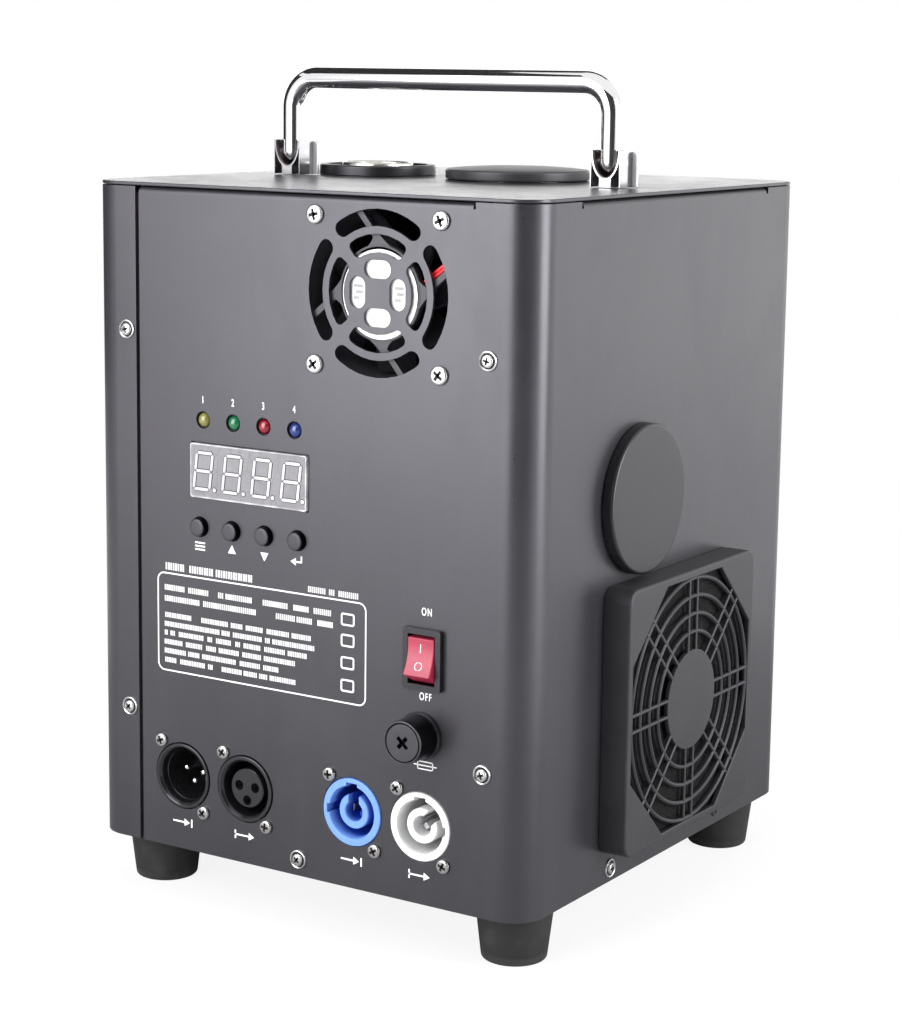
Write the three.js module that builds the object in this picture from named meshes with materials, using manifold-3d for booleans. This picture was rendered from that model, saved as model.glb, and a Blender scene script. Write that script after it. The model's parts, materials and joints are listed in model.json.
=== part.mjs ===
// Cold spark machine: folded sheet housing, carrying handle, controls, sockets, fans and spark train.
// Millimetres, +Z up. In the housing's own frame X runs to the right along the control panel, whose
// face is Y = 0, Y runs into the housing and Z = 0 is the lower edge of the walls. The finished
// group is moved so that its origin is the middle of the footprint, on the resting surface.
import * as THREE from 'three';
import { mergeVertices } from 'three/addons/utils/BufferGeometryUtils.js';
import Module from 'manifold-3d';

const wasm = await Module();
wasm.setup();

// Shared clearances
const seatGap = 0.3;
const overrun = 2;
const weldTolerance = 1e-4;

// Housing sheets
const housingWidth = 185;
const housingDepth = 194;
const housingHeight = 238.2;
const sheetThickness = 1.2;
const housingCornerRadius = 12;
const bendRadius = 2.2;
const flangeDepth = 12;
const coverStripWidth = 21.3;
const seamWidth = 1.6;
const seamTabReach = 10.5;
const seamTabRoot = 5;
const panelNotchInset = 22.9;
const sideNotchInset = 28.2;
const notchWidth = 1.2;
const baseLipHeight = 8;

// Feet
const footHeight = 19.3;
const footTopRadius = 13.9;
const footBottomRadius = 11.4;
const footEdgeRadius = 1.4;
const footSideInset = 16.4;
const footEndInset = 20.9;
const footSpigotRadius = 8.2;

// Carrying handle
const handleLegSpacing = 137.4;
const handleLineY = 89;
const handleRodDiameter = 7.8;
const handleAxisHeight = 36;
const handleBendRadius = 11;
const handlePivotHeight = 8.5;
const bracketWidth = 11.8;
const bracketHeight = 12.8;
const bracketFrontReach = 4.2;
const bracketBackWall = 1.6;
const bracketBackWidth = 15.6;
const bracketBackDepth = 3.2;
const bracketChamfer = 2.6;
const bracketSlotWidth = 9;
const handlePinDiameter = 3;
const handlePinLength = 17.8;
const handlePinHeadDiameter = 4.4;
const handlePinHeadLength = 1;

// Spark outlet and nozzle
const nozzleX = -49.3;
const sparkLineY = 117;
const outletRimRadius = 22.3;
const outletRimWidth = 3;
const outletRimHeight = 3.6;
const outletRimEdge = 0.6;
const nozzlePlateThickness = 2.6;
const nozzleRingRadius = 13.5;
const nozzleRingWidth = 1.6;
const nozzleRingHeight = 4.4;
const nozzleBoreRadius = 8.5;
const nozzleWall = 1.5;
const nozzleMouthRadius = 11;
const nozzleDepthInFurnace = 6;

// Hopper and lid
const hopperX = 13.6;
const hopperBoreRadius = 20;
const hopperWall = 1.5;
const hopperFlangeRadius = 24;
const hopperFlangeThickness = 1.5;
const hopperConeLength = 20;
const hopperSpoutLength = 21.3;
const hopperSpoutRadius = 5.5;
const lidRadius = 26.7;
const lidHeight = 3.7;
const lidCrown = 1.2;
const lidCrownShares = [1, 2 / 3, 1 / 3];
const lidWall = 1.7;
const lidEdge = 0.6;
const lidPlugLength = 7;
const lidPlugWall = 1.8;

// Status lights, display, buttons and their board
const controlColumnX = -21.6;
const lightPitch = 13.13;
const lightHeightZ = 156.9;
const lightHoleRadius = 2.9;
const lightRadius = 2.5;
const lightRecess = 0.2;
const displayWidth = 50.3;
const displayHeight = 19.2;
const displayOffsetX = 0.4;
const displayCentreZ = 139.1;
const displayProud = 1;
const displayEdge = 0.5;
const displayClearance = 0.3;
const buttonPitch = 14.13;
const buttonCentreZ = 119;
const buttonHoleRadius = 3.6;
const buttonCapRadius = 3.25;
const buttonProud = 2.2;
const buttonCollarRadius = 4.4;
const buttonCollarLength = 1;
const buttonTravel = 0.5;
const buttonRestGap = 0.2;
const switchSize = 6;
const boardFaceY = 9;
const boardThickness = 1.6;
const boardMargin = 8;
const boardPillarRadius = 2.5;
const boardPillarInset = 3.6;

// Rocker switch
const rockerX = 52;
const rockerCentreZ = 85.2;
const rockerBezelWidth = 15;
const rockerBezelHeight = 21;
const rockerBezelProud = 2;
const rockerBezelEdge = 1;
const rockerBodyWidth = 13;
const rockerBodyHeight = 19.2;
const rockerBodyDepth = 17;
const rockerWindowWidth = 10.8;
const rockerWindowHeight = 17;
const rockerCavityDepth = 8.4;
const rockerTabWidth = 4.8;
const rockerTabThickness = 0.8;
const rockerTabLength = 8;
const rockerTabPitch = 7;
const rockerPaddleWidth = 10.2;
const rockerPaddleLength = 14;
const rockerPaddleRise = 5.4;
const rockerPaddleDip = 1.2;
const rockerHubRadius = 4.6;
const rockerPivotDepth = 1.5;
const rockerTilt = THREE.MathUtils.degToRad(13);

// Fuse holder
const fuseX = 51;
const fuseCentreZ = 58.8;
const fuseFlangeRadius = 8.2;
const fuseFlangeThickness = 1.5;
const fuseBodyRadius = 6;
const fuseBodyLength = 34;
const fuseBoreRadius = 3.3;
const fuseNutRadius = 8.4;
const fuseNutThickness = 3;
const fuseCapRadius = 6.7;
const fuseCapLength = 9.2;
const fuseCapDraft = 0.3;
const fuseCapEdge = 0.6;
const fuseFaceGrooveRadius = 5;
const fuseFaceGrooveWidth = 0.7;
const fuseFaceGrooveDepth = 0.6;
const fuseCrossLength = 4.2;
const fuseCrossWidth = 1.1;
const fuseCrossDepth = 1.6;
const fuseLinkRadius = 2.6;
const fuseLinkCapRadius = 2.9;
const fuseLinkCapLength = 5;
const fuseLinkLength = 20;

// Sockets
const socketOuterX = 51.1;
const socketInnerX = 23.1;
const socketCentreZ = 27.2;
const socketFlangeWidth = 26;
const socketFlangeHeight = 31;
const socketFlangeThickness = 2;
const socketFlangeRadius = 3;
const socketHoleRadius = 12.3;
const socketNoseRadius = 11.9;
const socketProud = 0.5;
const socketBodyLength = 24;
const socketFloorThickness = 3;
const inletBoreRadius = 9.8;
const inletPinRadius = 1.25;
const inletPinLength = 12;
const inletPinSpread = 3.8;
const inletPinRise = 1.6;
const inletPinDrop = 3.6;
const inletKeyWidth = 2.4;
const inletKeyDepth = 1;
const outletRecessRadius = 9.7;
const outletInsertRadius = 7.1;
const outletInsertRecess = 1.2;
const outletPinHoleRadius = 1.45;
const outletPinHoleDepth = 14;
const powerRecessRadius = 9;
const powerCoreRadius = 6.1;
const powerCoreBoreRadius = 3.5;
const powerCoreSlotWidth = 4.4;
const powerCoreRecess = 0.8;
const powerKeyWidth = 4.6;
const powerKeySmallWidth = 3.2;
const powerKeyDepth = 1.3;

// Exhaust fan behind the panel grille
const exhaustFanX = 31.8;
const exhaustFanZ = 205.3;
const exhaustFanSize = 59.4;
const exhaustFanDepth = 25;
const exhaustDuctRadius = 28.3;
const exhaustHubRadius = 13;
const exhaustMotorRadius = 16.2;
const grilleOuterRadius = 27.8;
const grilleRingOuterRadius = 22.2;
const grilleRingInnerRadius = 19.6;
const grilleInnerRadius = 13.6;
const grilleEyeOuterRadius = 11.1;
const grilleEyeInnerRadius = 4.9;
const grilleEyeWidth = 10.6;
const grilleBridgeWidth = 4;
const grilleInnerBridgeWidth = 4.2;
const grilleInnerSlotRounding = 1.6;
const grilleEyeRounding = 2.2;

// Intake fan, guard, foam and snap-on filter cover on the right-hand wall
const coverSize = 94;
const coverLowZ = 11.8;
const intakeFanY = 95.3;
const intakeFanZ = coverLowZ + coverSize / 2;
const intakeFanMargin = 1;
const intakeFanSize = coverSize - 2 * intakeFanMargin;
const intakeFanDepth = 25;
const intakeDuctRim = 2.4;
const intakeDuctRadius = intakeFanSize / 2 - intakeDuctRim;
const intakeHubShare = 0.4587;
const intakeHubRadius = intakeDuctRadius * intakeHubShare;
const intakeMotorReach = 3;
const intakeMotorRadius = intakeHubRadius + intakeMotorReach;
const coverCornerRadius = 5;
const coverProud = 10.4;
const coverWall = 1.6;
const coverFaceThickness = 1.8;
const coverWindowRim = 2.8;
const coverWindowHalf = coverSize / 2 - coverWindowRim;
const coverWindowFlatShare = 0.4638;
const coverWindowFlatHalf = coverWindowHalf * coverWindowFlatShare;
const coverHubShare = 0.4072;
const coverHubRadius = coverWindowHalf * coverHubShare;
const coverRingFirstShare = 0.552;
const coverRingFirstRadius = coverWindowHalf * coverRingFirstShare;
const coverRingPitchShare = 0.1459;
const coverRingPitch = coverWindowHalf * coverRingPitchShare;
const coverRingCount = 4;
const coverBarWidth = 1.2;
const coverBarDepth = 1.5;
const coverSpokePitch = 5.8;
const guardThickness = 1.6;
const guardRingWidth = 2.4;
const guardSpokeWidth = 3;
const foamThickness = 5.6;

// Round port cap on the right-hand wall
const portY = 71.3;
const portCapRadius = 26.2;
const portCapGap = 1.7;
const portZ = coverLowZ + coverSize + portCapGap + portCapRadius;
const portCapProud = 4.2;
const portCapEdge = 0.8;
const portHoleRadius = 22;
const portPlugRadius = 21.6;
const portPlugLength = 7;
const portCapWall = 2.2;

// Fans, shared details
const fanFaceRecess = 1.5;
const fanCornerRadius = 3;
const fanMountThickness = 2.2;
const fanStrutWidth = 2.2;
const fanStrutLean = THREE.MathUtils.degToRad(39.5);
const fanStrutRoot = 0.8;
const fanShaftRadius = 2.5;
const fanTipClearance = 1;
const fanHubGap = 0.6;
const fanBladeThickness = 1.2;
const fanBladeCount = 7;
const fanBladeTwist = THREE.MathUtils.degToRad(12);
const fanChordShare = 0.72;
const fanFillShare = 0.8;
const fanCamberShare = 0.12;

// Furnace on its stand
const furnaceStandWidth = 62;
const furnaceStandSpan = 70;
const furnaceStandThickness = 1.5;
const furnaceStandFlange = 9;
const furnaceShelfHeight = 97.5;
const furnaceJacketRadius = 27;
const furnaceJacketWall = 6.5;
const furnaceAboveFeed = 29.8;
const furnaceCapThickness = 3;
const furnaceAirHoleRadius = 8;
const heaterCoreRadius = 15.5;
const heaterCoreWall = 1.5;
const heaterConeHeight = 14;
const heaterCoilWire = 2.4;
const heaterCoilTurns = 4;
const heaterCoilPitch = 7;

// Feed tube, screw and motor
const feedHeightZ = 152;
const feedTubeRadius = 8.6;
const feedTubeWall = 1.4;
const feedTubeEndX = 28;
const feedScrewRadius = 6.7;
const feedScrewCore = 2.6;
const feedScrewFin = 1.6;
const feedScrewPitch = 15;
const feedMotorRadius = 12;
const feedMotorLength = 30;
const feedMotorEdge = 1.4;
const feedGearboxSize = 28;
const feedGearboxLength = 14;
const feedShaftLength = 6;

// Blower under the furnace
const blowerX = -24.3;
const blowerZ = 38;
const blowerThickness = 30;
const blowerWall = 2;
const blowerStartRadius = 28;
const blowerEndRadius = 36;
const blowerOutletWidth = 22;
const blowerInletRadius = 17;
const blowerWheelRadius = 23;
const blowerWheelInnerRadius = 18.5;
const blowerWheelGap = 2;
const blowerBladeCount = 10;
const blowerBladeThickness = 0.9;
const blowerBladeLean = THREE.MathUtils.degToRad(20);
const blowerTongueAngle = THREE.MathUtils.degToRad(130);
const blowerDiscThickness = 1.4;
const blowerMotorRadius = 11;
const blowerMotorLength = 10;
const blowerFootWidth = 50;
const blowerFootHeight = 3;

// Power supply and main board
const supplyLeftX = 13;
const supplyWidth = 48;
const supplyFrontY = 60;
const supplyLength = 112;
const supplyHeight = 34;
const supplyEdge = 1.2;
const mainBoardX = 5;
const mainBoardZ = 132;
const mainBoardWidth = 96;
const mainBoardHeight = 76;
const mainBoardStandOff = 7;
const mainBoardPillarRadius = 3;
const mainBoardPillarInset = 6;
const heatSinkWidth = 30;
const heatSinkHeight = 40;
const heatSinkBase = 2;
const heatSinkFinHeight = 12;
const heatSinkFinThickness = 1.4;
const heatSinkFinCount = 4;
const capacitorRadius = 8;
const capacitorHeight = 20;
const capacitorInset = 20;

// Lead of the exhaust fan
const leadDiameter = 2;
const leadLineDepth = 1.6;
const leadStrutOffset = 2.7;
const leadStart = 3.5;
const leadStrutEnd = 11;
const leadNotchZ = 11.8;
const leadNotchWidth = 3.8;
const leadNotchDepth = 4;
const leadBend = 4;
const leadBoardDrop = 8;
const leadBoardReach = 18;

// Facet counts
const wideSides = 24;
const roundSides = 20;
const hiddenSides = 16;
const smallSides = 10;
const rodSides = 12;
const pillarSides = 6;
const pinSides = 8;
const wireSides = 5;
const coilSteps = 10;
const leadSides = 8;
const leadSteps = 42;
const finSteps = 8;
const finCoreSteps = 4;
const scrollSteps = 18;
const slotCoreSteps = 12;
const slotBoreSteps = 8;
const facetLength = 4;
const handleBendSteps = 4;
const rockerFaceSteps = 4;
const rockerHubSteps = 6;
const cornerSteps = 3;
const edgeSteps = 2;

// Derived places
const halfWidth = housingWidth / 2;
const topPlateUnder = housingHeight - sheetThickness;
const wallTop = topPlateUnder - seatGap;
const panelLeftX = -halfWidth + coverStripWidth + seamWidth;
const innerFace = sheetThickness;
const basePlateLow = sheetThickness + seatGap;
const basePlateTop = basePlateLow + sheetThickness;
const baseInset = 2 * (sheetThickness + seatGap);
const floorZ = basePlateTop + seatGap;
const plateTopZ = housingHeight + seatGap;
const rightWallX = halfWidth - sheetThickness;

// Point lists and shapes
function arcPoints(cx, cy, radius, from, to, steps) {
  const points = [];
  for (let i = 0; i <= steps; i += 1) {
    const a = from + ((to - from) * i) / steps;
    points.push(new THREE.Vector2(cx + radius * Math.cos(a), cy + radius * Math.sin(a)));
  }
  return points;
}

function circlePoints(cx, cy, radius, sides) {
  return arcPoints(cx, cy, radius, 0, 2 * Math.PI * (1 - 1 / sides), sides - 1);
}

function roundedRectPoints(cx, cy, width, height, radius, steps = cornerSteps) {
  const x = width / 2 - radius;
  const y = height / 2 - radius;
  const quarter = Math.PI / 2;
  return [
    ...arcPoints(cx + x, cy - y, radius, -quarter, 0, steps),
    ...arcPoints(cx + x, cy + y, radius, 0, quarter, steps),
    ...arcPoints(cx - x, cy + y, radius, quarter, 2 * quarter, steps),
    ...arcPoints(cx - x, cy - y, radius, 2 * quarter, 3 * quarter, steps),
  ];
}

function rectPoints(x0, y0, x1, y1) {
  return [
    new THREE.Vector2(x0, y0),
    new THREE.Vector2(x1, y0),
    new THREE.Vector2(x1, y1),
    new THREE.Vector2(x0, y1),
  ];
}

function shapeWithHoles(outline, holes = []) {
  const shape = new THREE.Shape(outline);
  for (const hole of holes) shape.holes.push(new THREE.Path(hole));
  return shape;
}

// Closed geometry with merged vertices, no empty triangles and faces that point out
function weld(geometry) {
  const bare = geometry.clone();
  bare.deleteAttribute('normal');
  bare.deleteAttribute('uv');
  const merged = mergeVertices(bare, weldTolerance);
  const index = merged.index.array;
  const position = merged.attributes.position;
  const a = new THREE.Vector3();
  const b = new THREE.Vector3();
  const c = new THREE.Vector3();
  const kept = [];
  let volume = 0;
  for (let i = 0; i < index.length; i += 3) {
    if (index[i] === index[i + 1] || index[i + 1] === index[i + 2] || index[i] === index[i + 2]) continue;
    kept.push(index[i], index[i + 1], index[i + 2]);
    a.fromBufferAttribute(position, index[i]);
    b.fromBufferAttribute(position, index[i + 1]);
    c.fromBufferAttribute(position, index[i + 2]);
    volume += a.dot(b.cross(c));
  }
  if (volume < 0) {
    for (let i = 0; i < kept.length; i += 3) [kept[i], kept[i + 1]] = [kept[i + 1], kept[i]];
  }
  merged.setIndex(kept);
  return merged;
}

function toSolid(geometry) {
  const closed = weld(geometry);
  return new wasm.Manifold(new wasm.Mesh({
    numProp: 3,
    vertProperties: new Float32Array(closed.attributes.position.array),
    triVerts: new Uint32Array(closed.index.array),
  }));
}

function fromSolid(solid) {
  const mesh = solid.getMesh();
  const geometry = new THREE.BufferGeometry();
  geometry.setAttribute('position', new THREE.BufferAttribute(new Float32Array(mesh.vertProperties), 3));
  geometry.setIndex(new THREE.BufferAttribute(new Uint32Array(mesh.triVerts), 1));
  return geometry;
}

function join(geometries) {
  const [first, ...others] = geometries.map(toSolid);
  return fromSolid(others.reduce((whole, piece) => whole.add(piece), first));
}

function cut(body, tools) {
  return fromSolid(tools.map(toSolid).reduce((whole, tool) => whole.subtract(tool), toSolid(body)));
}

// Prisms: an outline drawn in two axes and drawn out along the third
function prismZ(outline, low, high, holes = []) {
  const geometry = new THREE.ExtrudeGeometry(shapeWithHoles(outline, holes), {
    depth: high - low,
    bevelEnabled: false,
  });
  return geometry.translate(0, 0, low);
}

function prismY(outline, near, far, holes = []) {
  return prismZ(outline, -far, -near, holes).rotateX(Math.PI / 2);
}

function prismX(outline, left, right, holes = []) {
  const turn = new THREE.Matrix4().makeBasis(
    new THREE.Vector3(0, 1, 0),
    new THREE.Vector3(0, 0, 1),
    new THREE.Vector3(1, 0, 0),
  );
  return prismZ(outline, left, right, holes).applyMatrix4(turn);
}

// Revolved bodies: profile points are radius and distance along the axis
function revolve(profile, sides) {
  const points = profile.map(([radius, along]) => new THREE.Vector2(radius, along));
  return new THREE.LatheGeometry(points, sides);
}

function revolveY(profile, x, z, sides = roundSides) {
  return revolve(profile, sides).translate(x, 0, z);
}

function revolveZ(profile, x, y, sides = roundSides) {
  return revolve(profile, sides).rotateX(Math.PI / 2).translate(x, y, 0);
}

function revolveX(profile, y, z, sides = roundSides) {
  return revolve(profile, sides).rotateZ(-Math.PI / 2).translate(0, y, z);
}

function diskProfile(radius, low, high) {
  return [[0, low], [radius, low], [radius, high], [0, high]];
}

function ringProfile(inner, outer, low, high) {
  return [[inner, low], [outer, low], [outer, high], [inner, high], [inner, low]];
}

function cylinderZ(radius, low, high, x, y, sides = roundSides) {
  return revolveZ(diskProfile(radius, low, high), x, y, sides);
}

function cylinderY(radius, near, far, x, z, sides = roundSides) {
  return revolveY(diskProfile(radius, near, far), x, z, sides);
}

function cylinderX(radius, left, right, y, z, sides = roundSides) {
  return revolveX(diskProfile(radius, left, right), y, z, sides);
}

function boxBetween(x0, x1, y0, y1, z0, z1) {
  return prismZ(rectPoints(x0, y0, x1, y1), z0, z1);
}

// Finishes
const blackSheet = { color: 0x3a3a3d, roughness: 0.55, metalness: 0.3 };
const blackPlastic = { color: 0x17171a, roughness: 0.55, metalness: 0 };
const blackRubber = { color: 0x131314, roughness: 0.85, metalness: 0 };
const chrome = { color: 0xd9dadd, roughness: 0.08, metalness: 1 };
const steel = { color: 0x9a9b9e, roughness: 0.35, metalness: 0.9 };
const whitePlastic = { color: 0xe9e9e6, roughness: 0.4, metalness: 0 };
const zincSheet = { color: 0x9ea2a6, roughness: 0.4, metalness: 0.8 };

const machine = new THREE.Group();

function addPart(name, geometry, finish) {
  const mesh = new THREE.Mesh(weld(geometry), new THREE.MeshStandardMaterial(finish));
  mesh.name = name;
  machine.add(mesh);
}

// Sheet panels fold inwards along their straight edges. The fold's outline has u into the housing
// and v towards the edge, and place() turns it to the wall that it belongs to.
function foldOutline(place) {
  const quarter = Math.PI / 2;
  const outer = arcPoints(bendRadius, -bendRadius, bendRadius, 2 * quarter, quarter, cornerSteps);
  const insideRadius = bendRadius - sheetThickness;
  const inner = arcPoints(bendRadius, -bendRadius, insideRadius, quarter, 2 * quarter, cornerSteps);
  const lap = new THREE.Vector2(0, -2 * bendRadius);
  const points = [
    lap,
    ...outer,
    new THREE.Vector2(flangeDepth, 0),
    new THREE.Vector2(flangeDepth, -sheetThickness),
    ...inner,
    new THREE.Vector2(sheetThickness, lap.y),
  ];
  return points.map((p) => place(p.x, p.y));
}

const edges = [
  (v) => wallTop + v,
  (v) => -v,
];

function panelFolds(left, right, atBack) {
  return edges.map((edge) => prismX(
    foldOutline((u, v) => new THREE.Vector2(atBack ? housingDepth - u : u, edge(v))),
    left,
    right,
  ));
}

function sideFolds(side) {
  return edges.map((edge) => prismY(
    foldOutline((u, v) => new THREE.Vector2(side * (halfWidth - u), edge(v))),
    sideNotchInset + notchWidth / 2,
    housingDepth - sideNotchInset - notchWidth / 2,
  ));
}

// Plan of one wall band: from the front edge at frontX round one side to the back edge
function bandPlan(side, frontX) {
  const radius = housingCornerRadius;
  const t = sheetThickness;
  const cx = halfWidth - radius;
  const quarter = Math.PI / 2;
  const points = [
    new THREE.Vector2(frontX, 0),
    ...arcPoints(cx, radius, radius, -quarter, 0, cornerSteps),
    ...arcPoints(cx, housingDepth - radius, radius, 0, quarter, cornerSteps),
    new THREE.Vector2(frontX, housingDepth),
    new THREE.Vector2(frontX, housingDepth - t),
    ...arcPoints(cx, housingDepth - radius, radius - t, quarter, 0, cornerSteps),
    ...arcPoints(cx, radius, radius - t, 0, -quarter, cornerSteps),
    new THREE.Vector2(frontX, t),
  ];
  return side > 0 ? points : points.map((p) => new THREE.Vector2(-p.x, p.y)).reverse();
}

// Plan of one round corner, from its panel notch to its side notch, where the edge has no fold
function cornerBand(side, atBack) {
  const radius = housingCornerRadius;
  const t = sheetThickness;
  const cx = halfWidth - radius;
  const panelX = halfWidth - panelNotchInset + notchWidth / 2;
  const sideY = sideNotchInset - notchWidth / 2;
  const quarter = Math.PI / 2;
  const points = [
    new THREE.Vector2(panelX, 0),
    ...arcPoints(cx, radius, radius, -quarter, 0, cornerSteps),
    new THREE.Vector2(halfWidth, sideY),
    new THREE.Vector2(halfWidth - t, sideY),
    ...arcPoints(cx, radius, radius - t, 0, -quarter, cornerSteps),
    new THREE.Vector2(panelX, t),
  ];
  return points.map((p) => new THREE.Vector2(side * p.x, atBack ? housingDepth - p.y : p.y));
}

// Strip welded behind the panel's free edge, which the left cover is screwed to
function seamTab(atBack) {
  const near = sheetThickness + seatGap;
  const far = near + sheetThickness;
  const outline = [
    new THREE.Vector2(panelLeftX - seamTabReach, near),
    new THREE.Vector2(panelLeftX, near),
    new THREE.Vector2(panelLeftX, sheetThickness / 2),
    new THREE.Vector2(panelLeftX + seamTabRoot, sheetThickness / 2),
    new THREE.Vector2(panelLeftX + seamTabRoot, far),
    new THREE.Vector2(panelLeftX - seamTabReach, far),
  ];
  const placed = outline.map((p) => new THREE.Vector2(p.x, atBack ? housingDepth - p.y : p.y));
  const margin = flangeDepth;
  return prismZ(placed, margin, wallTop - margin);
}

// Fan grille: outer slots with round ends, inner slots and four eyes round a plain cross
function slotOutline(cx, cz, inner, outer, bridge, rounding, middle) {
  const mid = (inner + outer) / 2;
  const end = Math.min(rounding, (outer - inner) / 2);
  const points = [];
  const half = (radius) => Math.PI / 4 - Math.asin((bridge / 2 + end) / radius);
  const corner = (radius, angle, from) => arcPoints(
    cx + radius * Math.cos(angle),
    cz + radius * Math.sin(angle),
    end,
    from,
    from + Math.PI / 2,
    edgeSteps,
  );
  const outerMid = outer - end;
  const innerMid = inner + end;
  const outerHalf = half(outerMid);
  const innerHalf = half(innerMid);
  const arcSteps = Math.round(mid / facetLength);
  points.push(...arcPoints(cx, cz, outer, middle - outerHalf, middle + outerHalf, arcSteps));
  points.push(...corner(outerMid, middle + outerHalf, middle + outerHalf).slice(1));
  points.push(...corner(innerMid, middle + innerHalf, middle + innerHalf + Math.PI / 2).slice(1));
  points.push(...arcPoints(cx, cz, inner, middle + innerHalf, middle - innerHalf, arcSteps).slice(1));
  points.push(...corner(innerMid, middle - innerHalf, middle - innerHalf + Math.PI).slice(1));
  points.push(...corner(outerMid, middle - outerHalf, middle - outerHalf + 1.5 * Math.PI).slice(1, -1));
  return points;
}

function eyeOutline(cx, cz, middle) {
  const radialHalf = (grilleEyeOuterRadius - grilleEyeInnerRadius) / 2;
  const centre = (grilleEyeOuterRadius + grilleEyeInnerRadius) / 2;
  const upright = Math.abs(Math.sin(middle)) > Math.abs(Math.cos(middle));
  return roundedRectPoints(
    cx + centre * Math.cos(middle),
    cz + centre * Math.sin(middle),
    upright ? grilleEyeWidth : 2 * radialHalf,
    upright ? 2 * radialHalf : grilleEyeWidth,
    grilleEyeRounding,
    edgeSteps,
  );
}

function grilleOpenings() {
  const outlines = [];
  for (let quarter = 0; quarter < 4; quarter += 1) {
    const middle = (quarter * Math.PI) / 2;
    outlines.push(slotOutline(exhaustFanX, exhaustFanZ, grilleRingOuterRadius, grilleOuterRadius,
      grilleBridgeWidth, grilleOuterRadius, middle));
    outlines.push(slotOutline(exhaustFanX, exhaustFanZ, grilleInnerRadius, grilleRingInnerRadius,
      grilleInnerBridgeWidth, grilleInnerSlotRounding, middle));
    outlines.push(eyeOutline(exhaustFanX, exhaustFanZ, middle));
  }
  return outlines;
}

const lightX = [0, 1, 2, 3].map((i) => controlColumnX + (i - 1.5) * lightPitch);
const buttonX = [0, 1, 2, 3].map((i) => controlColumnX + (i - 1.5) * buttonPitch);
const displayX = controlColumnX + displayOffsetX;
const socketX = [-socketOuterX, -socketInnerX, socketInnerX, socketOuterX];

// Every opening of the control panel, drawn in X and Z
function panelOpenings() {
  return [
    ...grilleOpenings(),
    ...lightX.map((x) => circlePoints(x, lightHeightZ, lightHoleRadius, rodSides)),
    roundedRectPoints(displayX, displayCentreZ, displayWidth + 2 * displayClearance,
      displayHeight + 2 * displayClearance, displayEdge, edgeSteps),
    ...buttonX.map((x) => circlePoints(x, buttonCentreZ, buttonHoleRadius, rodSides)),
    rectPoints(
      rockerX - rockerBodyWidth / 2 - seatGap,
      rockerCentreZ - rockerBodyHeight / 2 - seatGap,
      rockerX + rockerBodyWidth / 2 + seatGap,
      rockerCentreZ + rockerBodyHeight / 2 + seatGap,
    ),
    circlePoints(fuseX, fuseCentreZ, fuseBodyRadius + seatGap, hiddenSides),
    ...socketX.map((x) => circlePoints(x, socketCentreZ, socketHoleRadius, roundSides)),
  ];
}

function wrapShell() {
  const band = prismZ(bandPlan(1, panelLeftX), bendRadius, wallTop - bendRadius);
  const corners = [false, true].map((atBack) => prismZ(cornerBand(1, atBack), 0, wallTop));
  const notchX = halfWidth - panelNotchInset - notchWidth / 2;
  const folds = [
    ...panelFolds(panelLeftX, notchX, false),
    ...panelFolds(panelLeftX, notchX, true),
    ...sideFolds(1),
  ];
  const whole = join([band, ...corners, ...folds, seamTab(false), seamTab(true)]);
  const openings = panelOpenings().map((outline) => prismY(outline, -overrun, sheetThickness + overrun));
  const wallHoles = [
    [intakeFanY, intakeFanZ, intakeDuctRadius],
    [portY, portZ, portHoleRadius],
  ].map(([y, z, radius]) => cylinderX(radius, rightWallX - overrun, halfWidth + overrun, y, z, wideSides));
  return cut(whole, [...openings, ...wallHoles]);
}

function leftCover() {
  const frontX = halfWidth - coverStripWidth;
  const band = prismZ(bandPlan(-1, frontX), bendRadius, wallTop - bendRadius);
  const cornerPlan = (atBack) => {
    const outline = cornerBand(-1, atBack);
    const limit = -frontX;
    return outline.map((p) => new THREE.Vector2(Math.min(p.x, limit), p.y));
  };
  const corners = [false, true].map((atBack) => prismZ(cornerPlan(atBack), 0, wallTop));
  return join([band, ...corners, ...sideFolds(-1)]);
}

function topPlate() {
  const outline = roundedRectPoints(0, housingDepth / 2, housingWidth, housingDepth, housingCornerRadius);
  const holes = [
    circlePoints(nozzleX, sparkLineY, nozzleBoreRadius + nozzleWall + seatGap, roundSides).reverse(),
    circlePoints(hopperX, sparkLineY, hopperBoreRadius + hopperWall + seatGap, roundSides).reverse(),
  ];
  return prismZ(outline, topPlateUnder, housingHeight, holes);
}

function basePlate() {
  const width = housingWidth - 2 * baseInset;
  const depth = housingDepth - 2 * baseInset;
  const radius = housingCornerRadius - baseInset;
  const outline = roundedRectPoints(0, housingDepth / 2, width, depth, radius);
  const plate = prismZ(outline, basePlateLow, basePlateTop);
  const lipTop = basePlateTop + baseLipHeight;
  const lipX = halfWidth - panelNotchInset;
  const lips = [baseInset, housingDepth - baseInset - sheetThickness].map((y) => (
    boxBetween(-lipX, lipX, y, y + sheetThickness, basePlateLow, lipTop)
  ));
  const sideLips = [-halfWidth + baseInset, halfWidth - baseInset - sheetThickness].map((x) => (
    boxBetween(x, x + sheetThickness, sideNotchInset, housingDepth - sideNotchInset, basePlateLow, lipTop)
  ));
  return join([plate, ...lips, ...sideLips]);
}

function foot(x, y) {
  const low = -footHeight;
  const high = -seatGap;
  const slope = (footTopRadius - footBottomRadius) / (high - low);
  const profile = [
    [0, low],
    [footBottomRadius - footEdgeRadius, low],
    [footBottomRadius + slope * footEdgeRadius, low + footEdgeRadius],
    [footTopRadius, high],
    [footSpigotRadius, high],
    [footSpigotRadius, sheetThickness],
    [0, sheetThickness],
  ];
  return revolveZ(profile, x, y, hiddenSides);
}

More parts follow.
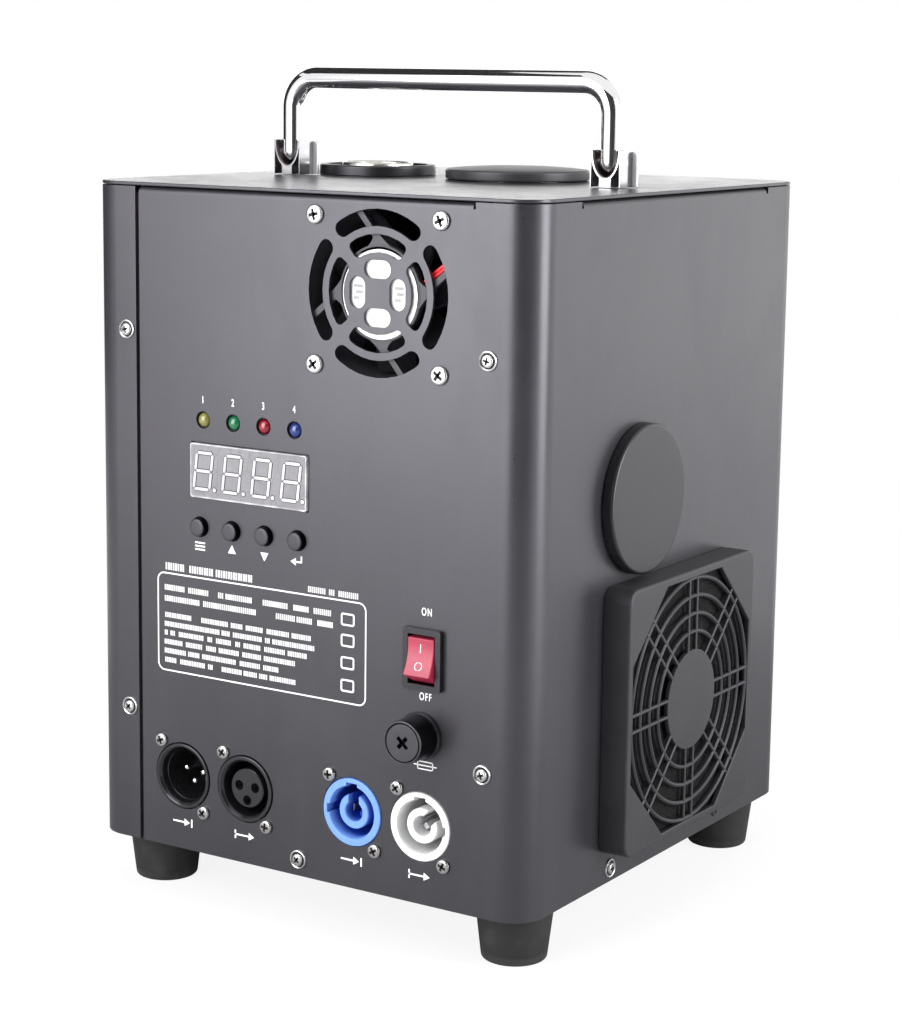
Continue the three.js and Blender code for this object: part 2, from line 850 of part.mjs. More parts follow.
addPart('wrap_shell', wrapShell(), blackSheet);
addPart('left_cover', leftCover(), blackSheet);
addPart('top_plate', topPlate(), blackSheet);
addPart('base_plate', basePlate(), blackSheet);
const footX = halfWidth - footSideInset;
addPart('foot_front_left', foot(-footX, footEndInset), blackRubber);
addPart('foot_front_right', foot(footX, footEndInset), blackRubber);
addPart('foot_back_left', foot(-footX, housingDepth - footEndInset), blackRubber);
addPart('foot_back_right', foot(footX, housingDepth - footEndInset), blackRubber);

// Carrying handle: a bent rod whose round ends turn on pins in two brackets
const legX = handleLegSpacing / 2;
const pivotZ = plateTopZ + handlePivotHeight;

function carryHandle() {
  const radius = handleRodDiameter / 2;
  const barZ = plateTopZ + handleAxisHeight;
  const bend = handleBendRadius;
  const at = (x, z) => new THREE.Vector3(x, handleLineY, z);
  const steps = handleBendSteps;
  const points = [at(-legX, pivotZ)];
  for (let i = 0; i <= steps; i += 1) {
    const a = Math.PI - (Math.PI / 2) * (i / steps);
    points.push(at(-legX + bend + bend * Math.cos(a), barZ - bend + bend * Math.sin(a)));
  }
  for (let i = 0; i <= steps; i += 1) {
    const a = Math.PI / 2 - (Math.PI / 2) * (i / steps);
    points.push(at(legX - bend + bend * Math.cos(a), barZ - bend + bend * Math.sin(a)));
  }
  points.push(at(legX, pivotZ));
  const rod = sweepRound(points, radius, rodSides);
  const boreRadius = handlePinDiameter / 2 + seatGap;
  const ends = [-legX, legX].map((x) => (
    new THREE.SphereGeometry(radius, rodSides, rodSides / 2)
      .rotateZ(Math.PI / 2)
      .translate(x, handleLineY, pivotZ)
  ));
  const bores = [-legX, legX].map((x) => (
    cylinderX(boreRadius, x - bracketWidth, x + bracketWidth, handleLineY, pivotZ, smallSides)
  ));
  return cut(join([rod, ...ends]), bores);
}

// Round rod along a list of points in a plane of constant Y, with mitred bends
function sweepRound(points, radius, sides) {
  const rings = points.map((p, i) => {
    const before = points[Math.max(0, i - 1)];
    const after = points[Math.min(points.length - 1, i + 1)];
    const inward = p.clone().sub(before).normalize();
    const outward = after.clone().sub(p).normalize();
    const along = inward.clone().add(outward).normalize();
    const inside = i > 0 && i < points.length - 1;
    const miter = inside ? 1 / along.dot(outward) : 1;
    const across = new THREE.Vector3(0, 1, 0).cross(along).normalize();
    const ring = [];
    for (let s = 0; s < sides; s += 1) {
      const a = (2 * Math.PI * s) / sides;
      ring.push(p.clone()
        .addScaledVector(across, radius * miter * Math.cos(a))
        .addScaledVector(new THREE.Vector3(0, 1, 0), radius * Math.sin(a)));
    }
    return ring;
  });
  return ringsToGeometry(rings);
}

// Closed body through rings of equal point counts, with flat ends
function ringsToGeometry(rings) {
  const sides = rings[0].length;
  const positions = rings.flat().flatMap((p) => [p.x, p.y, p.z]);
  const index = [];
  for (let r = 0; r < rings.length - 1; r += 1) {
    for (let s = 0; s < sides; s += 1) {
      const a = r * sides + s;
      const b = r * sides + ((s + 1) % sides);
      index.push(a, b, a + sides, b, b + sides, a + sides);
    }
  }
  const last = (rings.length - 1) * sides;
  for (let s = 1; s < sides - 1; s += 1) {
    index.push(0, s + 1, s);
    index.push(last, last + s, last + s + 1);
  }
  const geometry = new THREE.BufferGeometry();
  geometry.setAttribute('position', new THREE.Float32BufferAttribute(positions, 3));
  geometry.setIndex(index);
  return geometry;
}

function handleBracket(x) {
  const w = bracketWidth / 2;
  const base = plateTopZ;
  const top = base + bracketHeight;
  const slot = bracketSlotWidth / 2;
  const chamfer = bracketChamfer;
  const front = handleLineY - bracketFrontReach;
  const slotBack = handleLineY + handleRodDiameter / 2 + seatGap;
  const back = slotBack + bracketBackWall;
  const cup = [
    [-w, top], [-w, base + chamfer], [-w + chamfer / 2, base], [w - chamfer / 2, base],
    [w, base + chamfer], [w, top],
  ].map(([u, v]) => new THREE.Vector2(x + u, v));
  const block = prismY(cup, front, back);
  const lug = boxBetween(x - bracketBackWidth / 2, x + bracketBackWidth / 2, back - bracketBackDepth, back,
    base, top - chamfer);
  const hollow = [
    new THREE.Vector2(x + slot, top + overrun),
    new THREE.Vector2(x - slot, top + overrun),
    ...arcPoints(x, pivotZ, slot, Math.PI, 2 * Math.PI, 2 * cornerSteps),
  ];
  const slotTool = prismY(hollow, front - overrun, slotBack);
  const bore = cylinderX(handlePinDiameter / 2 + seatGap, x - bracketBackWidth, x + bracketBackWidth,
    handleLineY, pivotZ, smallSides);
  return cut(join([block, lug]), [slotTool, bore]);
}

function handlePin(x) {
  const half = handlePinLength / 2;
  const r = handlePinDiameter / 2;
  const head = handlePinHeadDiameter / 2;
  const profile = [
    [0, -half], [head, -half], [head, -half + handlePinHeadLength], [r, -half + handlePinHeadLength],
    [r, half - handlePinHeadLength], [head, half - handlePinHeadLength], [head, half], [0, half],
  ];
  return revolveX(profile, handleLineY, pivotZ, smallSides).translate(x, 0, 0);
}

addPart('carry_handle', carryHandle(), chrome);
addPart('handle_bracket_left', handleBracket(-legX), chrome);
addPart('handle_bracket_right', handleBracket(legX), chrome);
addPart('handle_pin_left', handlePin(-legX), chrome);
addPart('handle_pin_right', handlePin(legX), chrome);

// Spark outlet: black rim, and bright nozzle whose tube goes down into the furnace
const furnaceLow = furnaceShelfHeight + seatGap;
const furnaceTop = feedHeightZ + furnaceAboveFeed;

function outletRim() {
  const top = plateTopZ + outletRimHeight;
  const inner = outletRimRadius - outletRimWidth;
  return revolveZ([
    [inner, plateTopZ], [outletRimRadius, plateTopZ], [outletRimRadius, top - outletRimEdge],
    [outletRimRadius - outletRimEdge, top], [inner, top], [inner, plateTopZ],
  ], nozzleX, sparkLineY);
}

function sparkNozzle() {
  const plate = plateTopZ + nozzlePlateThickness;
  const ringTop = plateTopZ + nozzleRingHeight;
  const outer = outletRimRadius - outletRimWidth - seatGap;
  const tube = nozzleBoreRadius + nozzleWall;
  const low = furnaceTop - nozzleDepthInFurnace;
  return revolveZ([
    [nozzleBoreRadius, low], [tube, low], [tube, plateTopZ], [outer, plateTopZ], [outer, plate],
    [nozzleRingRadius, plate], [nozzleRingRadius, ringTop], [nozzleRingRadius - nozzleRingWidth, ringTop],
    [nozzleMouthRadius, plate], [nozzleBoreRadius, plateTopZ], [nozzleBoreRadius, low],
  ], nozzleX, sparkLineY);
}

addPart('outlet_rim', outletRim(), blackPlastic);
addPart('spark_nozzle', sparkNozzle(), steel);

// Hopper under its lid: straight cup, and the funnel below it whose spout enters the feed tube
const hopperSpoutLow = feedHeightZ + feedTubeRadius - feedTubeWall;
const hopperConeLow = hopperSpoutLow + hopperSpoutLength;
const hopperConeTop = hopperConeLow + hopperConeLength;

function hopperCup() {
  const flangeTop = plateTopZ + hopperFlangeThickness;
  const outer = hopperBoreRadius + hopperWall;
  return revolveZ([
    [hopperBoreRadius, hopperConeTop], [outer, hopperConeTop], [outer, plateTopZ],
    [hopperFlangeRadius, plateTopZ], [hopperFlangeRadius, flangeTop], [hopperBoreRadius, flangeTop],
    [hopperBoreRadius, hopperConeTop],
  ], hopperX, sparkLineY);
}

function hopperFunnel() {
  const outer = hopperBoreRadius + hopperWall;
  const top = hopperConeTop - seatGap;
  const spout = hopperSpoutRadius + hopperWall;
  return revolveZ([
    [hopperSpoutRadius, hopperSpoutLow], [spout, hopperSpoutLow], [spout, hopperConeLow], [outer, top],
    [hopperBoreRadius, top], [hopperSpoutRadius, hopperConeLow], [hopperSpoutRadius, hopperSpoutLow],
  ], hopperX, sparkLineY);
}

function hopperLid() {
  const low = plateTopZ;
  const rimTop = low + lidHeight;
  const ceiling = low + hopperFlangeThickness + seatGap;
  const plugOuter = hopperBoreRadius - seatGap;
  const plugInner = plugOuter - lidPlugWall;
  const plugLow = low - lidPlugLength + hopperFlangeThickness;
  const skirtInner = hopperFlangeRadius + seatGap;
  const crown = lidCrownShares.map((share) => (
    [(lidRadius - lidEdge) * share, rimTop + lidCrown * (1 - share * share)]
  ));
  return revolveZ([
    [0, rimTop + lidCrown - lidWall], [plugInner, ceiling], [plugInner, plugLow], [plugOuter, plugLow],
    [plugOuter, ceiling], [skirtInner, ceiling], [skirtInner, low], [lidRadius, low],
    [lidRadius, rimTop - lidEdge], ...crown, [0, rimTop + lidCrown],
  ], hopperX, sparkLineY);
}

addPart('hopper_cup', hopperCup(), steel);
addPart('hopper_funnel', hopperFunnel(), steel);
addPart('hopper_lid', hopperLid(), blackPlastic);

// Status lights, display and buttons, and the board that carries them
function statusLight(x) {
  const back = boardFaceY - seatGap;
  const tip = lightRecess;
  const dome = arcPoints(0, tip + lightRadius, lightRadius, -Math.PI / 2, 0, 2).map((p) => [p.x, p.y]);
  dome[0] = [0, tip];
  return revolveY([
    ...dome, [lightRadius, back], [0, back],
  ], x, lightHeightZ, smallSides);
}

['led_yellow', 'led_green', 'led_red', 'led_blue'].forEach((name, i) => {
  const colour = [0xb3a82a, 0x1f8a4c, 0xb5202a, 0x2a3f9a][i];
  addPart(name, statusLight(lightX[i]), { color: colour, roughness: 0.25, metalness: 0 });
});

function displayModule() {
  const back = boardFaceY - seatGap;
  const outline = (inset) => roundedRectPoints(displayX, displayCentreZ, displayWidth - 2 * inset,
    displayHeight - 2 * inset, displayEdge, edgeSteps);
  return join([
    prismY(outline(0), -displayProud + displayEdge / 2, back),
    prismY(outline(displayEdge / 2), -displayProud, back / 2),
  ]);
}

function pushButton(x) {
  const front = -buttonProud;
  const back = boardFaceY - switchSize / 2 - seatGap - buttonTravel;
  const collar = sheetThickness + buttonRestGap;
  return revolveY([
    [0, front], [buttonCapRadius, front], [buttonCapRadius, collar], [buttonCollarRadius, collar],
    [buttonCollarRadius, collar + buttonCollarLength],
    [buttonCapRadius, collar + buttonCollarLength], [buttonCapRadius, back], [0, back],
  ], x, buttonCentreZ, rodSides);
}

function displayBoard() {
  const top = lightHeightZ + boardMargin;
  const low = buttonCentreZ - boardMargin;
  const left = displayX - displayWidth / 2 - boardMargin;
  const right = displayX + displayWidth / 2 + boardMargin;
  const back = boardFaceY + boardThickness;
  const plate = boxBetween(left, right, boardFaceY, back, low, top);
  const pillars = [left + boardPillarInset, right - boardPillarInset].flatMap((x) => (
    [low + boardPillarInset, top - boardPillarInset].map((z) => (
      cylinderY(boardPillarRadius, innerFace + seatGap, back, x, z, pillarSides)
    ))
  ));
  const switches = buttonX.map((x) => boxBetween(
    x - switchSize / 2,
    x + switchSize / 2,
    boardFaceY - switchSize / 2,
    back,
    buttonCentreZ - switchSize / 2,
    buttonCentreZ + switchSize / 2,
  ));
  return join([plate, ...pillars, ...switches]);
}

addPart('display_module', displayModule(), { color: 0x8d8f94, roughness: 0.25, metalness: 0 });
buttonX.forEach((x, i) => addPart(`button_${i + 1}`, pushButton(x), blackPlastic));
addPart('display_board', displayBoard(), { color: 0x1f5a38, roughness: 0.5, metalness: 0 });

// Rocker switch: bezel with body, and rocker that tips about a line across the window
function rockerBezel() {
  const outline = (inset) => roundedRectPoints(rockerX, rockerCentreZ, rockerBezelWidth - 2 * inset,
    rockerBezelHeight - 2 * inset, rockerBezelEdge, edgeSteps);
  const flange = join([
    prismY(outline(0), -rockerBezelProud + rockerBezelEdge / 2, -seatGap),
    prismY(outline(rockerBezelEdge / 2), -rockerBezelProud, -rockerBezelProud / 2),
  ]);
  const body = boxBetween(rockerX - rockerBodyWidth / 2, rockerX + rockerBodyWidth / 2, -rockerBezelProud / 2,
    rockerBodyDepth, rockerCentreZ - rockerBodyHeight / 2, rockerCentreZ + rockerBodyHeight / 2);
  const tabs = [-1, 0, 1].map((i) => boxBetween(
    rockerX - rockerTabWidth / 2,
    rockerX + rockerTabWidth / 2,
    rockerBodyDepth - overrun,
    rockerBodyDepth + rockerTabLength,
    rockerCentreZ + i * rockerTabPitch - rockerTabThickness / 2,
    rockerCentreZ + i * rockerTabPitch + rockerTabThickness / 2,
  ));
  const cavity = boxBetween(rockerX - rockerWindowWidth / 2, rockerX + rockerWindowWidth / 2,
    -rockerBezelProud - overrun, rockerCavityDepth, rockerCentreZ - rockerWindowHeight / 2,
    rockerCentreZ + rockerWindowHeight / 2);
  return cut(join([flange, body, ...tabs]), [cavity]);
}

function powerRocker() {
  const half = rockerPaddleLength / 2;
  const rise = rockerPaddleRise;
  const hub = rockerHubRadius;
  const face = [];
  const faceSteps = rockerFaceSteps;
  for (let i = 0; i <= faceSteps; i += 1) {
    const share = 1 - (2 * i) / faceSteps;
    face.push(new THREE.Vector2(-rise + rockerPaddleDip * (1 - share * share), half * share));
  }
  const outline = [
    ...face,
    ...arcPoints(0, 0, hub, -Math.PI / 2, Math.PI / 2, rockerHubSteps),
  ];
  const turned = outline.map((p) => {
    const c = Math.cos(rockerTilt);
    const s = Math.sin(rockerTilt);
    return new THREE.Vector2(
      rockerPivotDepth + p.x * c + p.y * s,
      rockerCentreZ - p.x * s + p.y * c,
    );
  });
  return prismX(turned, rockerX - rockerPaddleWidth / 2, rockerX + rockerPaddleWidth / 2);
}

addPart('rocker_bezel', rockerBezel(), blackPlastic);
addPart('power_rocker', powerRocker(), { color: 0xb0121f, roughness: 0.2, metalness: 0 });

// Fuse holder: flanged body through the panel, screw cap in front and fuse link inside
const fuseCapBack = -fuseFlangeThickness - 2 * seatGap;

function fuseHolder() {
  const flangeFront = -fuseFlangeThickness - seatGap;
  const nutFront = innerFace + seatGap;
  const barrel = revolveY([
    [fuseBoreRadius, flangeFront], [fuseFlangeRadius, flangeFront], [fuseFlangeRadius, -seatGap],
    [fuseBodyRadius, -seatGap], [fuseBodyRadius, fuseBodyLength], [0, fuseBodyLength],
    [0, fuseBodyLength - fuseNutThickness], [fuseBoreRadius, fuseBodyLength - fuseNutThickness],
    [fuseBoreRadius, flangeFront],
  ], fuseX, fuseCentreZ, hiddenSides);
  const nutBore = (fuseBoreRadius + fuseBodyRadius) / 2;
  const nut = revolveY(ringProfile(nutBore, fuseNutRadius, nutFront, nutFront + fuseNutThickness), fuseX,
    fuseCentreZ, pillarSides);
  return join([barrel, nut]);
}

function fuseCap() {
  const front = fuseCapBack - fuseCapLength;
  const r = fuseCapRadius;
  const groove = fuseFaceGrooveRadius;
  const grooveIn = groove - fuseFaceGrooveWidth;
  const floor = front + fuseFaceGrooveDepth;
  const body = revolveY([
    [0, front], [grooveIn, front], [grooveIn, floor], [groove, floor], [groove, front],
    [r - fuseCapDraft - fuseCapEdge, front], [r - fuseCapDraft, front + fuseCapEdge], [r, fuseCapBack],
    [0, fuseCapBack],
  ], fuseX, fuseCentreZ, hiddenSides);
  const half = fuseCrossLength / 2;
  const bar = fuseCrossWidth / 2;
  const cross = [1, -1].map((side) => (
    boxBetween(-half, half, front - overrun, front + fuseCrossDepth, -bar, bar)
      .rotateY((side * Math.PI) / 4)
      .translate(fuseX, 0, fuseCentreZ)
  ));
  return cut(body, cross);
}

function fuseLink() {
  const start = fuseCapBack + seatGap;
  const end = start + fuseLinkLength;
  return revolveY([
    [0, start], [fuseLinkCapRadius, start], [fuseLinkCapRadius, start + fuseLinkCapLength],
    [fuseLinkRadius, start + fuseLinkCapLength], [fuseLinkRadius, end - fuseLinkCapLength],
    [fuseLinkCapRadius, end - fuseLinkCapLength], [fuseLinkCapRadius, end], [0, end],
  ], fuseX, fuseCentreZ, smallSides);
}

addPart('fuse_holder', fuseHolder(), blackPlastic);
addPart('fuse_cap', fuseCap(), blackPlastic);
addPart('fuse_link', fuseLink(), { color: 0xc9d2d6, roughness: 0.1, metalness: 0.2 });

// Sockets: a flange behind the panel, a nose that fills the round hole and a body behind it
function socketBlank(x, boreRadius) {
  const back = innerFace + seatGap;
  const flangeBack = back + socketFlangeThickness;
  const flange = prismY(roundedRectPoints(x, socketCentreZ, socketFlangeWidth, socketFlangeHeight,
    socketFlangeRadius, edgeSteps), back, flangeBack);
  const front = -socketProud;
  const floor = socketBodyLength - socketFloorThickness;
  const nose = revolveY([
    [0, floor], [boreRadius, floor], [boreRadius, front], [socketNoseRadius, front],
    [socketNoseRadius, socketBodyLength], [0, socketBodyLength],
  ], x, socketCentreZ);
  const bore = cylinderY(boreRadius, back - overrun, floor, x, socketCentreZ);
  return join([cut(flange, [bore]), nose]);
}

const pinPlaces = [
  [-inletPinSpread, inletPinRise],
  [inletPinSpread, inletPinRise],
  [0, -inletPinDrop],
];

function signalInlet(x) {
  const floor = socketBodyLength - socketFloorThickness;
  const pins = pinPlaces.map(([dx, dz]) => {
    const tip = floor - inletPinLength;
    return revolveY([
      [0, tip], [inletPinRadius / 2, tip], [inletPinRadius, tip + inletPinRadius],
      [inletPinRadius, floor + socketFloorThickness / 2], [0, floor + socketFloorThickness / 2],
    ], x + dx, socketCentreZ + dz, pillarSides);
  });
  const keyway = boxBetween(x - inletKeyWidth / 2, x + inletKeyWidth / 2, -socketProud - overrun, floor,
    socketCentreZ, socketCentreZ + inletBoreRadius + inletKeyDepth);
  return join([cut(socketBlank(x, inletBoreRadius), [keyway]), ...pins]);
}

function signalOutlet(x) {
  const floor = socketBodyLength - socketFloorThickness;
  const insert = cylinderY(outletInsertRadius, outletInsertRecess, floor + socketFloorThickness / 2, x,
    socketCentreZ);
  const holes = pinPlaces.map(([dx, dz]) => cylinderY(outletPinHoleRadius, -overrun, outletPinHoleDepth,
    x + dx, socketCentreZ + dz, pinSides));
  return cut(join([socketBlank(x, outletRecessRadius), insert]), holes);
}

// Twist-lock power socket: C-shaped core in a ring recess, with two keyways of unlike width
function powerSocket(x, coreTurn, smallKeySide) {
  const floor = socketBodyLength - socketFloorThickness;
  const coreFloor = floor + socketFloorThickness / 2;
  const opening = Math.asin(powerCoreSlotWidth / 2 / powerCoreBoreRadius);
  const outerOpening = Math.asin(powerCoreSlotWidth / 2 / powerCoreRadius);
  const up = Math.PI / 2;
  const turn = 2 * Math.PI;
  const outline = [
    ...arcPoints(0, 0, powerCoreRadius, up + outerOpening, up + turn - outerOpening, slotCoreSteps),
    ...arcPoints(0, 0, powerCoreBoreRadius, up + turn - opening, up + opening, slotBoreSteps),
  ];
  const turned = outline.map((p) => {
    const q = p.rotateAround(new THREE.Vector2(), coreTurn);
    return new THREE.Vector2(x + q.x, socketCentreZ + q.y);
  });
  const core = prismY(turned, powerCoreRecess, coreFloor);
  const reach = powerRecessRadius + powerKeyDepth;
  const topKey = boxBetween(x - powerKeyWidth / 2, x + powerKeyWidth / 2, -socketProud - overrun, floor,
    socketCentreZ + powerCoreRadius, socketCentreZ + reach);
  const sideKey = boxBetween(
    Math.min(x + smallKeySide * powerCoreRadius, x + smallKeySide * reach),
    Math.max(x + smallKeySide * powerCoreRadius, x + smallKeySide * reach),
    -socketProud - overrun,
    floor,
    socketCentreZ - powerKeySmallWidth / 2,
    socketCentreZ + powerKeySmallWidth / 2,
  );
  return join([cut(socketBlank(x, powerRecessRadius), [topKey, sideKey]), core]);
}

addPart('signal_inlet', signalInlet(socketX[0]), blackPlastic);
addPart('signal_outlet', signalOutlet(socketX[1]), blackPlastic);
addPart('power_inlet', powerSocket(socketX[2], 0, -1), { color: 0x3f78d8, roughness: 0.35, metalness: 0 });
addPart('power_outlet', powerSocket(socketX[3], -Math.PI / 4, 1), whitePlastic);

// Axial fans, drawn round the Y axis with the strut side at Y = 0, then placed
function fanFrame(size, depth, duct, motor) {
  const outline = roundedRectPoints(0, 0, size, size, fanCornerRadius, edgeSteps);
  const body = prismY(outline, 0, depth, [circlePoints(0, 0, duct, wideSides).reverse()]);
  const mount = cylinderY(motor, 0, fanMountThickness, 0, 0);
  const shaft = cylinderY(fanShaftRadius, 0, depth / 2, 0, 0, smallSides);
  const offset = motor * Math.sin(fanStrutLean);
  const run = Math.sqrt((duct + fanStrutRoot) ** 2 - offset ** 2) - motor * Math.cos(fanStrutLean);
  const struts = [0, 1, 2, 3].map((i) => (
    boxBetween(-fanStrutWidth, run, 0, fanMountThickness, -fanStrutWidth / 2, fanStrutWidth / 2)
      .rotateY(-fanStrutLean)
      .translate(motor, 0, 0)
      .rotateY((i * Math.PI) / 2)
  ));
  return join([body, mount, shaft, ...struts]);
}

function fanBlade(root, tip, chordDepth) {
  const sections = [root, tip];
  const rings = sections.map((radius, i) => {
    const reach = (Math.PI * radius) / fanBladeCount;
    const sweep = fanBladeTwist * i;
    const ring = [];
    const stations = [-1, 0, 1];
    const place = (share, side) => {
      const turn = (share * reach * fanFillShare) / radius + sweep;
      const camber = (1 - share * share) * chordDepth * fanCamberShare;
      const y = (share * chordDepth) / 2 + camber + (side * fanBladeThickness) / 2;
      return new THREE.Vector3(radius * Math.cos(turn), y, radius * Math.sin(turn));
    };
    stations.forEach((share) => ring.push(place(share, 1)));
    [...stations].reverse().forEach((share) => ring.push(place(share, -1)));
    return ring;
  });
  return ringsToGeometry(rings);
}

function fanRotor(depth, duct, hub) {
  const near = fanMountThickness + fanHubGap;
  const far = depth - fanFaceRecess;
  const cup = revolveY([
    [fanShaftRadius + seatGap, depth / 2 + seatGap], [fanShaftRadius + seatGap, near],
    [hub, near], [hub, far], [0, far], [0, depth / 2 + seatGap],
    [fanShaftRadius + seatGap, depth / 2 + seatGap],
  ], 0, 0, hiddenSides);
  const middle = (near + far) / 2;
  const chordDepth = (far - near) * fanChordShare;
  const blades = [];
  for (let i = 0; i < fanBladeCount; i += 1) {
    blades.push(fanBlade(hub - fanHubGap, duct - fanTipClearance, chordDepth)
      .translate(0, middle, 0)
      .rotateY((2 * Math.PI * i) / fanBladeCount));
  }
  return join([cup, ...blades]);
}

function atExhaust(geometry) {
  return geometry.translate(exhaustFanX, innerFace + seatGap, exhaustFanZ);
}

function atIntake(geometry) {
  return geometry.rotateZ(Math.PI / 2).translate(rightWallX - seatGap, intakeFanY, intakeFanZ);
}

function exhaustFanFrame() {
  const frame = fanFrame(exhaustFanSize, exhaustFanDepth, exhaustDuctRadius, exhaustMotorRadius);
  const notch = boxBetween(exhaustDuctRadius - 2 * leadBend, exhaustFanSize, -overrun, leadNotchDepth,
    leadNotchZ - leadNotchWidth / 2, leadNotchZ + leadNotchWidth / 2);
  return atExhaust(cut(frame, [notch]));
}

addPart('exhaust_fan_frame', exhaustFanFrame(), blackPlastic);
addPart('exhaust_fan_rotor', atExhaust(fanRotor(exhaustFanDepth, exhaustDuctRadius, exhaustHubRadius)),
  blackPlastic);
addPart('intake_fan_frame', atIntake(fanFrame(intakeFanSize, intakeFanDepth, intakeDuctRadius,
  intakeMotorRadius)), blackPlastic);
addPart('intake_fan_rotor', atIntake(fanRotor(intakeFanDepth, intakeDuctRadius, intakeHubRadius)),
  blackPlastic);

// Filter: guard screwed to the wall, foam, and the snap-on cover with its grille
const guardLow = halfWidth + seatGap;
const coverFront = halfWidth + seatGap + coverProud;
const coverInner = coverSize - 2 * coverWall;

function at45(geometry, turn) {
  return geometry.rotateX(turn).translate(0, intakeFanY, intakeFanZ);
}

function windowOutline() {
  const h = coverWindowHalf;
  const f = coverWindowFlatHalf;
  return [
    [f, -h], [h, -f], [h, f], [f, h], [-f, h], [-h, f], [-h, -f], [-f, -h],
  ].map(([u, v]) => new THREE.Vector2(intakeFanY + u, intakeFanZ + v));
}

function filterGuard() {
  const size = coverInner - 2 * seatGap;
  const radius = coverCornerRadius - coverWall;
  const outline = roundedRectPoints(intakeFanY, intakeFanZ, size, size, radius, edgeSteps);
  const hole = circlePoints(intakeFanY, intakeFanZ, intakeDuctRadius - guardRingWidth, wideSides).reverse();
  const frame = prismX(outline, guardLow, guardLow + guardThickness, [hole]);
  const ring = revolveX(ringProfile(intakeHubRadius - guardRingWidth, intakeHubRadius, guardLow,
    guardLow + guardThickness), intakeFanY, intakeFanZ, hiddenSides);
  const reach = intakeDuctRadius - guardRingWidth / 2;
  const spokes = [0, 1, 2, 3].map((i) => at45(boxBetween(guardLow, guardLow + guardThickness,
    intakeHubRadius - guardRingWidth, reach, -guardSpokeWidth / 2, guardSpokeWidth / 2),
  Math.PI / 4 + (i * Math.PI) / 2));
  return join([frame, ring, ...spokes]);
}

function filterFoam() {
  const size = coverInner - 2 * seatGap;
  const low = guardLow + guardThickness + seatGap;
  const radius = coverCornerRadius - coverWall;
  const outline = roundedRectPoints(intakeFanY, intakeFanZ, size, size, radius, edgeSteps);
  return prismX(outline, low, low + foamThickness);
}

function filterCover() {
  const outer = roundedRectPoints(intakeFanY, intakeFanZ, coverSize, coverSize, coverCornerRadius);
  const inner = roundedRectPoints(intakeFanY, intakeFanZ, coverInner, coverInner,
    coverCornerRadius - coverWall, edgeSteps);
  const shell = prismX(outer, guardLow, coverFront);
  const box = cut(shell, [
    prismX(inner, guardLow - overrun, coverFront - coverFaceThickness),
    prismX(windowOutline(), guardLow, coverFront + overrun),
  ]);
  const barFront = coverFront - seatGap;
  const barBack = barFront - coverBarDepth;
  const rings = [];
  for (let i = 0; i < coverRingCount; i += 1) {
    const mid = coverRingFirstRadius + i * coverRingPitch;
    rings.push(revolveX(ringProfile(mid - coverBarWidth / 2, mid + coverBarWidth / 2, barBack, barFront),
      intakeFanY, intakeFanZ, wideSides));
  }
  const hub = cylinderX(coverHubRadius, barBack, barFront, intakeFanY, intakeFanZ, hiddenSides);
  const spokes = [];
  for (let i = 0; i < 8; i += 1) {
    const diagonal = i % 2 === 1;
    const windowReach = diagonal ? (coverWindowHalf + coverWindowFlatHalf) / Math.SQRT2 : coverWindowHalf;
    const reach = windowReach + coverWall / 2;
    for (const side of [-1, 1]) {
      const middle = (side * coverSpokePitch) / 2;
      spokes.push(at45(boxBetween(barBack, barFront, coverHubRadius / 2, reach, middle - coverBarWidth / 2,
        middle + coverBarWidth / 2), (i * Math.PI) / 4));
    }
  }
  return join([box, hub, ...rings, ...spokes]);
}

addPart('filter_guard', filterGuard(), blackPlastic);
addPart('filter_foam', filterFoam(), { color: 0x0c0c0d, roughness: 1, metalness: 0 });
addPart('filter_cover', filterCover(), { color: 0x3b3b3f, roughness: 0.6, metalness: 0 });

// Port cap: a low round cap whose plug fits the hole in the wall
function portCap() {
  const low = halfWidth + seatGap;
  const face = low + portCapProud;
  const plugEnd = low - portPlugLength;
  return revolveX([
    [0, face - portCapWall], [portPlugRadius - portCapWall, face - portCapWall],
    [portPlugRadius - portCapWall, plugEnd], [portPlugRadius, plugEnd], [portPlugRadius, low],
    [portCapRadius, low], [portCapRadius, face - portCapEdge], [portCapRadius - portCapEdge, face], [0, face],
  ], portY, portZ, wideSides);
}

addPart('port_cap', portCap(), blackPlastic);

// Furnace: stand, insulated jacket and cap round the heater core, with the coil between them
function furnaceStand() {
  const half = furnaceStandSpan / 2;
  const t = furnaceStandThickness;
  const y = sparkLineY;
  const top = furnaceShelfHeight;
  const foot = furnaceStandFlange;
  const outline = [
    [-half - foot, floorZ], [-half, floorZ], [-half, top - t], [half, top - t], [half, floorZ],
    [half + foot, floorZ], [half + foot, floorZ + t], [half + t, floorZ + t], [half + t, top],
    [-half - t, top], [-half - t, floorZ + t], [-half - foot, floorZ + t],
  ].map(([u, v]) => new THREE.Vector2(y + u, v));
  const left = nozzleX - furnaceStandWidth / 2;
  const stand = prismX(outline, left, left + furnaceStandWidth);
  const air = cylinderZ(furnaceAirHoleRadius, top - t - overrun, top + overrun, nozzleX, y, smallSides);
  return cut(stand, [air]);
}

const feedPortRadius = feedTubeRadius + seatGap;

function feedPort(radius) {
  const end = nozzleX + furnaceJacketRadius + overrun;
  return cylinderX(radius, nozzleX, end, sparkLineY, feedHeightZ, hiddenSides);
}

function furnaceJacket() {
  const inner = furnaceJacketRadius - furnaceJacketWall;
  const ring = revolveZ(ringProfile(inner, furnaceJacketRadius, furnaceLow, furnaceTop), nozzleX, sparkLineY,
    hiddenSides);
  return cut(ring, [feedPort(feedPortRadius)]);
}

function furnaceCap() {
  const low = furnaceTop + seatGap;
  const bore = nozzleBoreRadius + nozzleWall + seatGap;
  return revolveZ(ringProfile(bore, furnaceJacketRadius, low, low + furnaceCapThickness), nozzleX, sparkLineY,
    hiddenSides);
}

